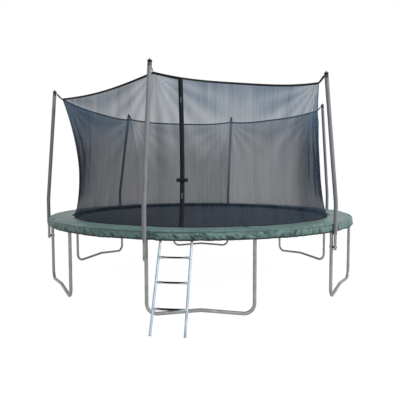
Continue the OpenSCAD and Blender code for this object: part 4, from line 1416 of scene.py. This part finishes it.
@dataclass
class Door(Assembly):
    """The zip in the first panel, its sliders, and the buckle that keeps it shut."""

    net: SafetyNet
    width: float = 0.0496
    buckle_height: float = 1.368
    off: float = 0.010
    buckle_width: float = 0.034
    thick: float = 0.009
    wall: float = 0.002
    zip_length: float = 1.62
    strap_half: float = 0.019
    strap_thick: float = 0.001
    stations: int = 72

    def build(self) -> None:
        """Sews in the zip, dresses the sliders and closes the buckle."""
        self.sew_zip()
        self.shop.dress(["zip_slider_upper", "zip_slider_lower"], Slot.SLIDER_METAL)
        self.buckle()

    def zip_point(self, s: float) -> tuple[float, float]:
        """The radius and height of the zip's middle at a share of its height."""
        net = self.net
        return net.radius(0, net.door, s), mix(net.low, net.top(net.door_share()), s)

    def zip_place(self, s: float) -> Matrix:
        """The place on the zip whose +X points away from it and +Z up along it.

        Args:
            s: The share of the zip's height.

        Returns:
            The place.
        """
        step = 0.004
        (ra, za), (rb, zb) = self.zip_point(max(s - step, 0)), self.zip_point(min(s + step, 0.9999))
        r, z = self.zip_point(min(s, 0.9999))
        tilt = math.atan2(rb - ra, zb - za)
        return (Matrix.Translation(polar(self.net.door, r, z))
                @ Matrix.Rotation(math.radians(self.net.door - 90), 4, "Z") @ Matrix.Rotation(tilt, 4, "Y"))

    def sew_zip(self) -> None:
        """Draws the two tapes with the row of teeth between them."""
        half = self.width / 2
        section = [(0.0006, -half), (0.0006, -0.005), (0.0013, -0.0034), (0.0015, 0.0), (0.0013, 0.0034),
                   (0.0006, 0.005), (0.0006, half), (-0.0006, half), (-0.0006, 0.005), (-0.0014, 0.003),
                   (-0.0014, -0.003), (-0.0006, -0.005), (-0.0006, -half)]
        bm = bmesh.new()
        uv = bm.loops.layers.uv.verify()
        shares = [i / self.stations for i in range(self.stations + 1)]
        rows = sweep(bm, [Vector((x, y, 0)) for x, y in section], [self.zip_place(s) for s in shares])
        length = {v: self.zip_length * s for s, row in zip(shares, rows) for v in row}
        inverse = turned_to(self.net.door).inverted()
        for face in bm.faces:
            for loop in face.loops:
                loop[uv].uv = ((inverse @ loop.vert.co).y, length[loop.vert])
        piece = self.shop.piece("zip", bm, Slot.ZIP_TAPE)
        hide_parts("door_zip")
        self.net.settle(piece)

    def strap(self, bm: bmesh.types.BMesh, place: Matrix, start: float, end: float) -> None:
        """Draws a strap that falls from the buckle to the net beside the zip.

        Args:
            bm: The mesh to draw in.
            place: The buckle's place.
            start: How far beside it the strap starts.
            end: How far beside it the strap ends.
        """
        places = []
        for i in range(11):
            t = i / 10
            x = mix(self.off + 0.0043, 0.0046, smooth(0.1, 0.95, t))
            slope = (smooth(0.1, 0.95, min(t + 0.05, 1)) - smooth(0.1, 0.95, max(t - 0.05, 0))) * -self.off
            turn = math.atan2(slope, (end - start) * 0.1)
            places.append(place @ Matrix.Translation((x, mix(start, end, t), 0)) @ Matrix.Rotation(-turn, 4, "Z"))
        thick, half = self.strap_thick, self.strap_half
        band = [(thick, -half), (thick, half), (-thick, half), (-thick, -half)]
        sweep(bm, [Vector((x, 0, z)) for x, z in band], places)

    def buckle(self) -> None:
        """Builds the socket and the plug, each with its strap."""
        net = self.net
        s = (self.buckle_height - net.low) / (net.top(net.door_share()) - net.low)
        place = self.zip_place(s) @ Matrix.Translation((0.0018, 0, 0))
        off, high, half = self.off, self.off + self.thick, self.buckle_width / 2

        def block(x: Sequence[float], y: Sequence[float], z: Sequence[float], edge: float) -> None:
            """Adds a rounded block between two limits outwards, sideways and up."""
            box(bm, Vector((x[0], y[0], z[0])), Vector((x[1], y[1], z[1])), place, edge)

        bm = bmesh.new()
        for x in ((off, off + self.wall), (high - self.wall, high)):
            block(x, (-0.024, 0.004), (-half + 0.005, half - 0.005), 0.0006)
        for side in (-1, 1):
            block((off, high), (-0.024, -0.011), sorted((side * half, side * (half - 0.003))), 0.0008)
            rim = sorted((side * (half - 0.0052), side * (half - 0.0036)))
            block((off, high), (-0.011, 0.004), rim, 0.0006)
        block((off, high), (-0.024, -0.013), (-half + 0.001, half - 0.001), 0.0012)
        self.strap(bm, place, -0.0235, -0.062)
        socket = self.shop.piece("socket", bm, Slot.BUCKLE_PLASTIC)
        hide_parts("buckle_socket")
        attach(socket, "frame")
        bm = bmesh.new()
        block((off, high), (0.0043, 0.0125), (-half, half), 0.0015)
        block((off + 0.001, high - 0.001), (0.0125, 0.0203), (-half + 0.003, half - 0.003), 0.0012)
        for side in (-1, 1):
            tongue = sorted((side * 0.009, side * 0.004))
            block((off + 0.0024, high - 0.0024), (-0.0107, 0.005), tongue, 0.0008)
        self.strap(bm, place, 0.0198, 0.062)
        plug = self.shop.piece("plug", bm, Slot.BUCKLE_PLASTIC)
        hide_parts("buckle_plug")
        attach(plug, "buckle")


# ---- ladder ----


@dataclass
class Ladder(Assembly):
    """The hook-on ladder: rails, hooks, feet and bolts keep their shapes, the treads are new."""

    azimuth: float = -6.4
    half_width: float = 0.1565
    rungs: tuple[tuple[float, float], ...] = ((2.4883, 0.2086), (2.3598, 0.4196), (2.2313, 0.6305))
    round_radius: float = 0.0125
    flat_width: float = 0.040
    flat_thick: float = 0.015
    trough: float = 0.005
    flat_to: float = 0.080
    round_from: float = 0.118
    collar: float = 0.136
    sides: int = 40

    def build(self) -> None:
        """Dresses the rails and presses the treads."""
        self.shop.dress(["ladder_rail_left", "ladder_rail_right"], Slot.LADDER_TUBE)
        self.shop.dress(["ladder_hooks", "ladder_bolts"], Slot.ZINC_STEEL)
        self.shop.dress(["ladder_feet"], Slot.BLACK_PLASTIC)
        for number, (radius, height) in enumerate(self.rungs, 1):
            bm = bmesh.new()
            self.press(bm, radius, height)
            piece = self.shop.piece(f"tread_{number}", bm, Slot.LADDER_TREAD)
            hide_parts("ladder_rungs")
            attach(piece, "ladder")

    def press(self, bm: bmesh.types.BMesh, radius: float, height: float) -> None:
        """Draws one rung: a round tube pressed into a trough in its middle.

        Args:
            bm: The mesh to draw in.
            radius: The rung's distance from the ring's axis.
            height: Its height.
        """
        steps = [0.003 - self.half_width, -self.collar, -self.round_from]
        steps += [mix(-self.round_from, -self.flat_to, i / 8) for i in range(1, 9)]
        steps += [mix(-self.flat_to, self.flat_to, i / 12) for i in range(1, 12)]
        steps += [-s for s in reversed(steps[:11])]
        places = [turned_to(self.azimuth) @ Matrix.Translation((radius, y, height)) for y in steps]
        painted_hollow_shade, = number_layers(bm, "painted_hollow_shade")
        rows = sweep(bm, [Vector((p.x, 0, p.y)) for p in circle_points(1.0, self.sides)], places)
        for y, row, place in zip(steps, rows, places):
            flat = 1 - smooth(self.flat_to, self.round_from, abs(y))
            width = mix(2 * self.round_radius, self.flat_width, flat)
            thick = mix(2 * self.round_radius, self.flat_thick, flat)
            back = place.inverted()
            for v in row:
                local = back @ v.co
                x = (width - thick) / 2 * math.copysign(min(abs(local.x) * 1.6, 1), local.x) + thick / 2 * local.x
                inside = smooth(0.78, 0.5, abs(local.x)) * smooth(-0.5, 0.1, local.z) * flat
                # Painted shade on the top of the rung across its pressed middle.
                low = mix(-0.8, 0.5, smooth(0.02, 0.13, abs(y)))
                v[painted_hollow_shade] = smooth(low, low + 0.3, local.z) * smooth(0.140, 0.115, abs(y))
                v.co = place @ Vector((x, 0, thick / 2 * local.z - self.trough * inside))


# ---- studio ----


@dataclass(frozen=True)
class Lamp:
    """A square soft lamp."""

    name: str
    place: tuple[float, float, float]
    size: float
    power: float

    def hang(self, aim: Vector) -> None:
        """Hangs the lamp.

        Args:
            aim: Where it points.
        """
        data = bpy.data.lights.new(self.name, "AREA")
        data.size, data.energy = self.size, self.power
        lamp = bpy.data.objects.new(self.name, data)
        lamp.location = self.place
        lamp.rotation_euler = (aim - Vector(self.place)).to_track_quat("-Z", "Y").to_euler()
        bpy.context.scene.collection.objects.link(lamp)


@dataclass
class Studio:
    """A plain pale floor, soft light and the camera."""

    eye: tuple[float, float, float] = (0.00655, -5.7720, 1.4062)
    pitch: float = 0.0586
    yaw: float = 0.0024
    roll: float = 0.0023
    lens: float = 35.952
    sensor: float = 36.0
    daylight: float = 0.38
    floor_size: float = 400.0
    floor_shade: float = 0.75
    floor_glow: float = 1.12
    glow_share: float = 0.88
    aim: tuple[float, float, float] = (0, 0.2, 1.0)
    lamps: tuple[Lamp, ...] = (Lamp("key", (9.0, -5.2, 7.4), 2.0, 780.0),
                               Lamp("fill", (-1.0, -8.0, 5.0), 4.5, 110.0))

    def build(self) -> None:
        """Sets the camera, the floor, the world and the lamps."""
        self.place_camera()
        self.lay_floor()
        self.light_world()
        for lamp in self.lamps:
            lamp.hang(Vector(self.aim))

    def place_camera(self) -> None:
        """Places the camera at a grown-up's eye height before the door."""
        data = bpy.data.cameras.new("camera")
        data.lens, data.sensor_width = self.lens, self.sensor
        data.clip_end = 1000.0
        camera = bpy.data.objects.new("camera", data)
        camera.location = self.eye
        camera.rotation_euler = (math.pi / 2 - self.pitch, self.roll, self.yaw)
        bpy.context.scene.collection.objects.link(camera)
        bpy.context.scene.camera = camera

    def lay_floor(self) -> None:
        """Lays a pale floor that keeps the trampoline's shadow."""
        bm = bmesh.new()
        bmesh.ops.create_grid(bm, x_segments=1, y_segments=1, size=self.floor_size / 2)
        mesh = bpy.data.meshes.new("floor")
        bm.to_mesh(mesh)
        bm.free()
        floor = bpy.data.objects.new("floor", mesh)
        floor.location = (0, 0, -0.001)
        bpy.context.scene.collection.objects.link(floor)
        sh = ShaderTree("floor")
        sh.set(Base_Color=(self.floor_shade,) * 3 + (1,), Roughness=1.0, Specular_IOR_Level=0.0)
        white = sh.add("ShaderNodeEmission", {"Color": (1, 1, 1, 1), "Strength": self.floor_glow}).outputs[0]
        share = sh.math("MULTIPLY", sh.seen(), self.glow_share)
        mixed = sh.add("ShaderNodeMixShader", {0: share, 1: sh.surface.outputs[0], 2: white}).outputs[0]
        sh.tree.links.new(mixed, sh.output.inputs["Surface"])
        mesh.materials.append(sh.material)

    def light_world(self) -> None:
        """Fills the world with soft white light, which is at its full white where it is looked at."""
        world = bpy.data.worlds.new("studio")
        bpy.context.scene.world = world
        world.use_nodes = True
        sh = NodeTree(world.node_tree)
        strength = sh.span(sh.seen(), 0.0, 1.0, self.daylight, 1.0)
        sky = sh.add("ShaderNodeBackground", {0: (1, 1, 1, 1), 1: strength}).outputs[0]
        sh.add("ShaderNodeOutputWorld", {0: sky})


def main() -> None:
    """Builds the trampoline's sub-assemblies in order."""
    logging.basicConfig(level=logging.INFO, format="%(message)s")
    bpy.context.scene.view_settings.view_transform = "Standard"
    shop = Workshop()
    poles = Poles(shop)
    net = SafetyNet(shop, poles)
    for assembly in (Studio(), SteelFrame(shop), JumpingMat(shop), SpringCover(shop), poles, net,
                     Door(shop, net), Ladder(shop)):
        assembly.build()
        LOG.info("%s done", type(assembly).__name__)


if __name__ == "__main__":
    main()
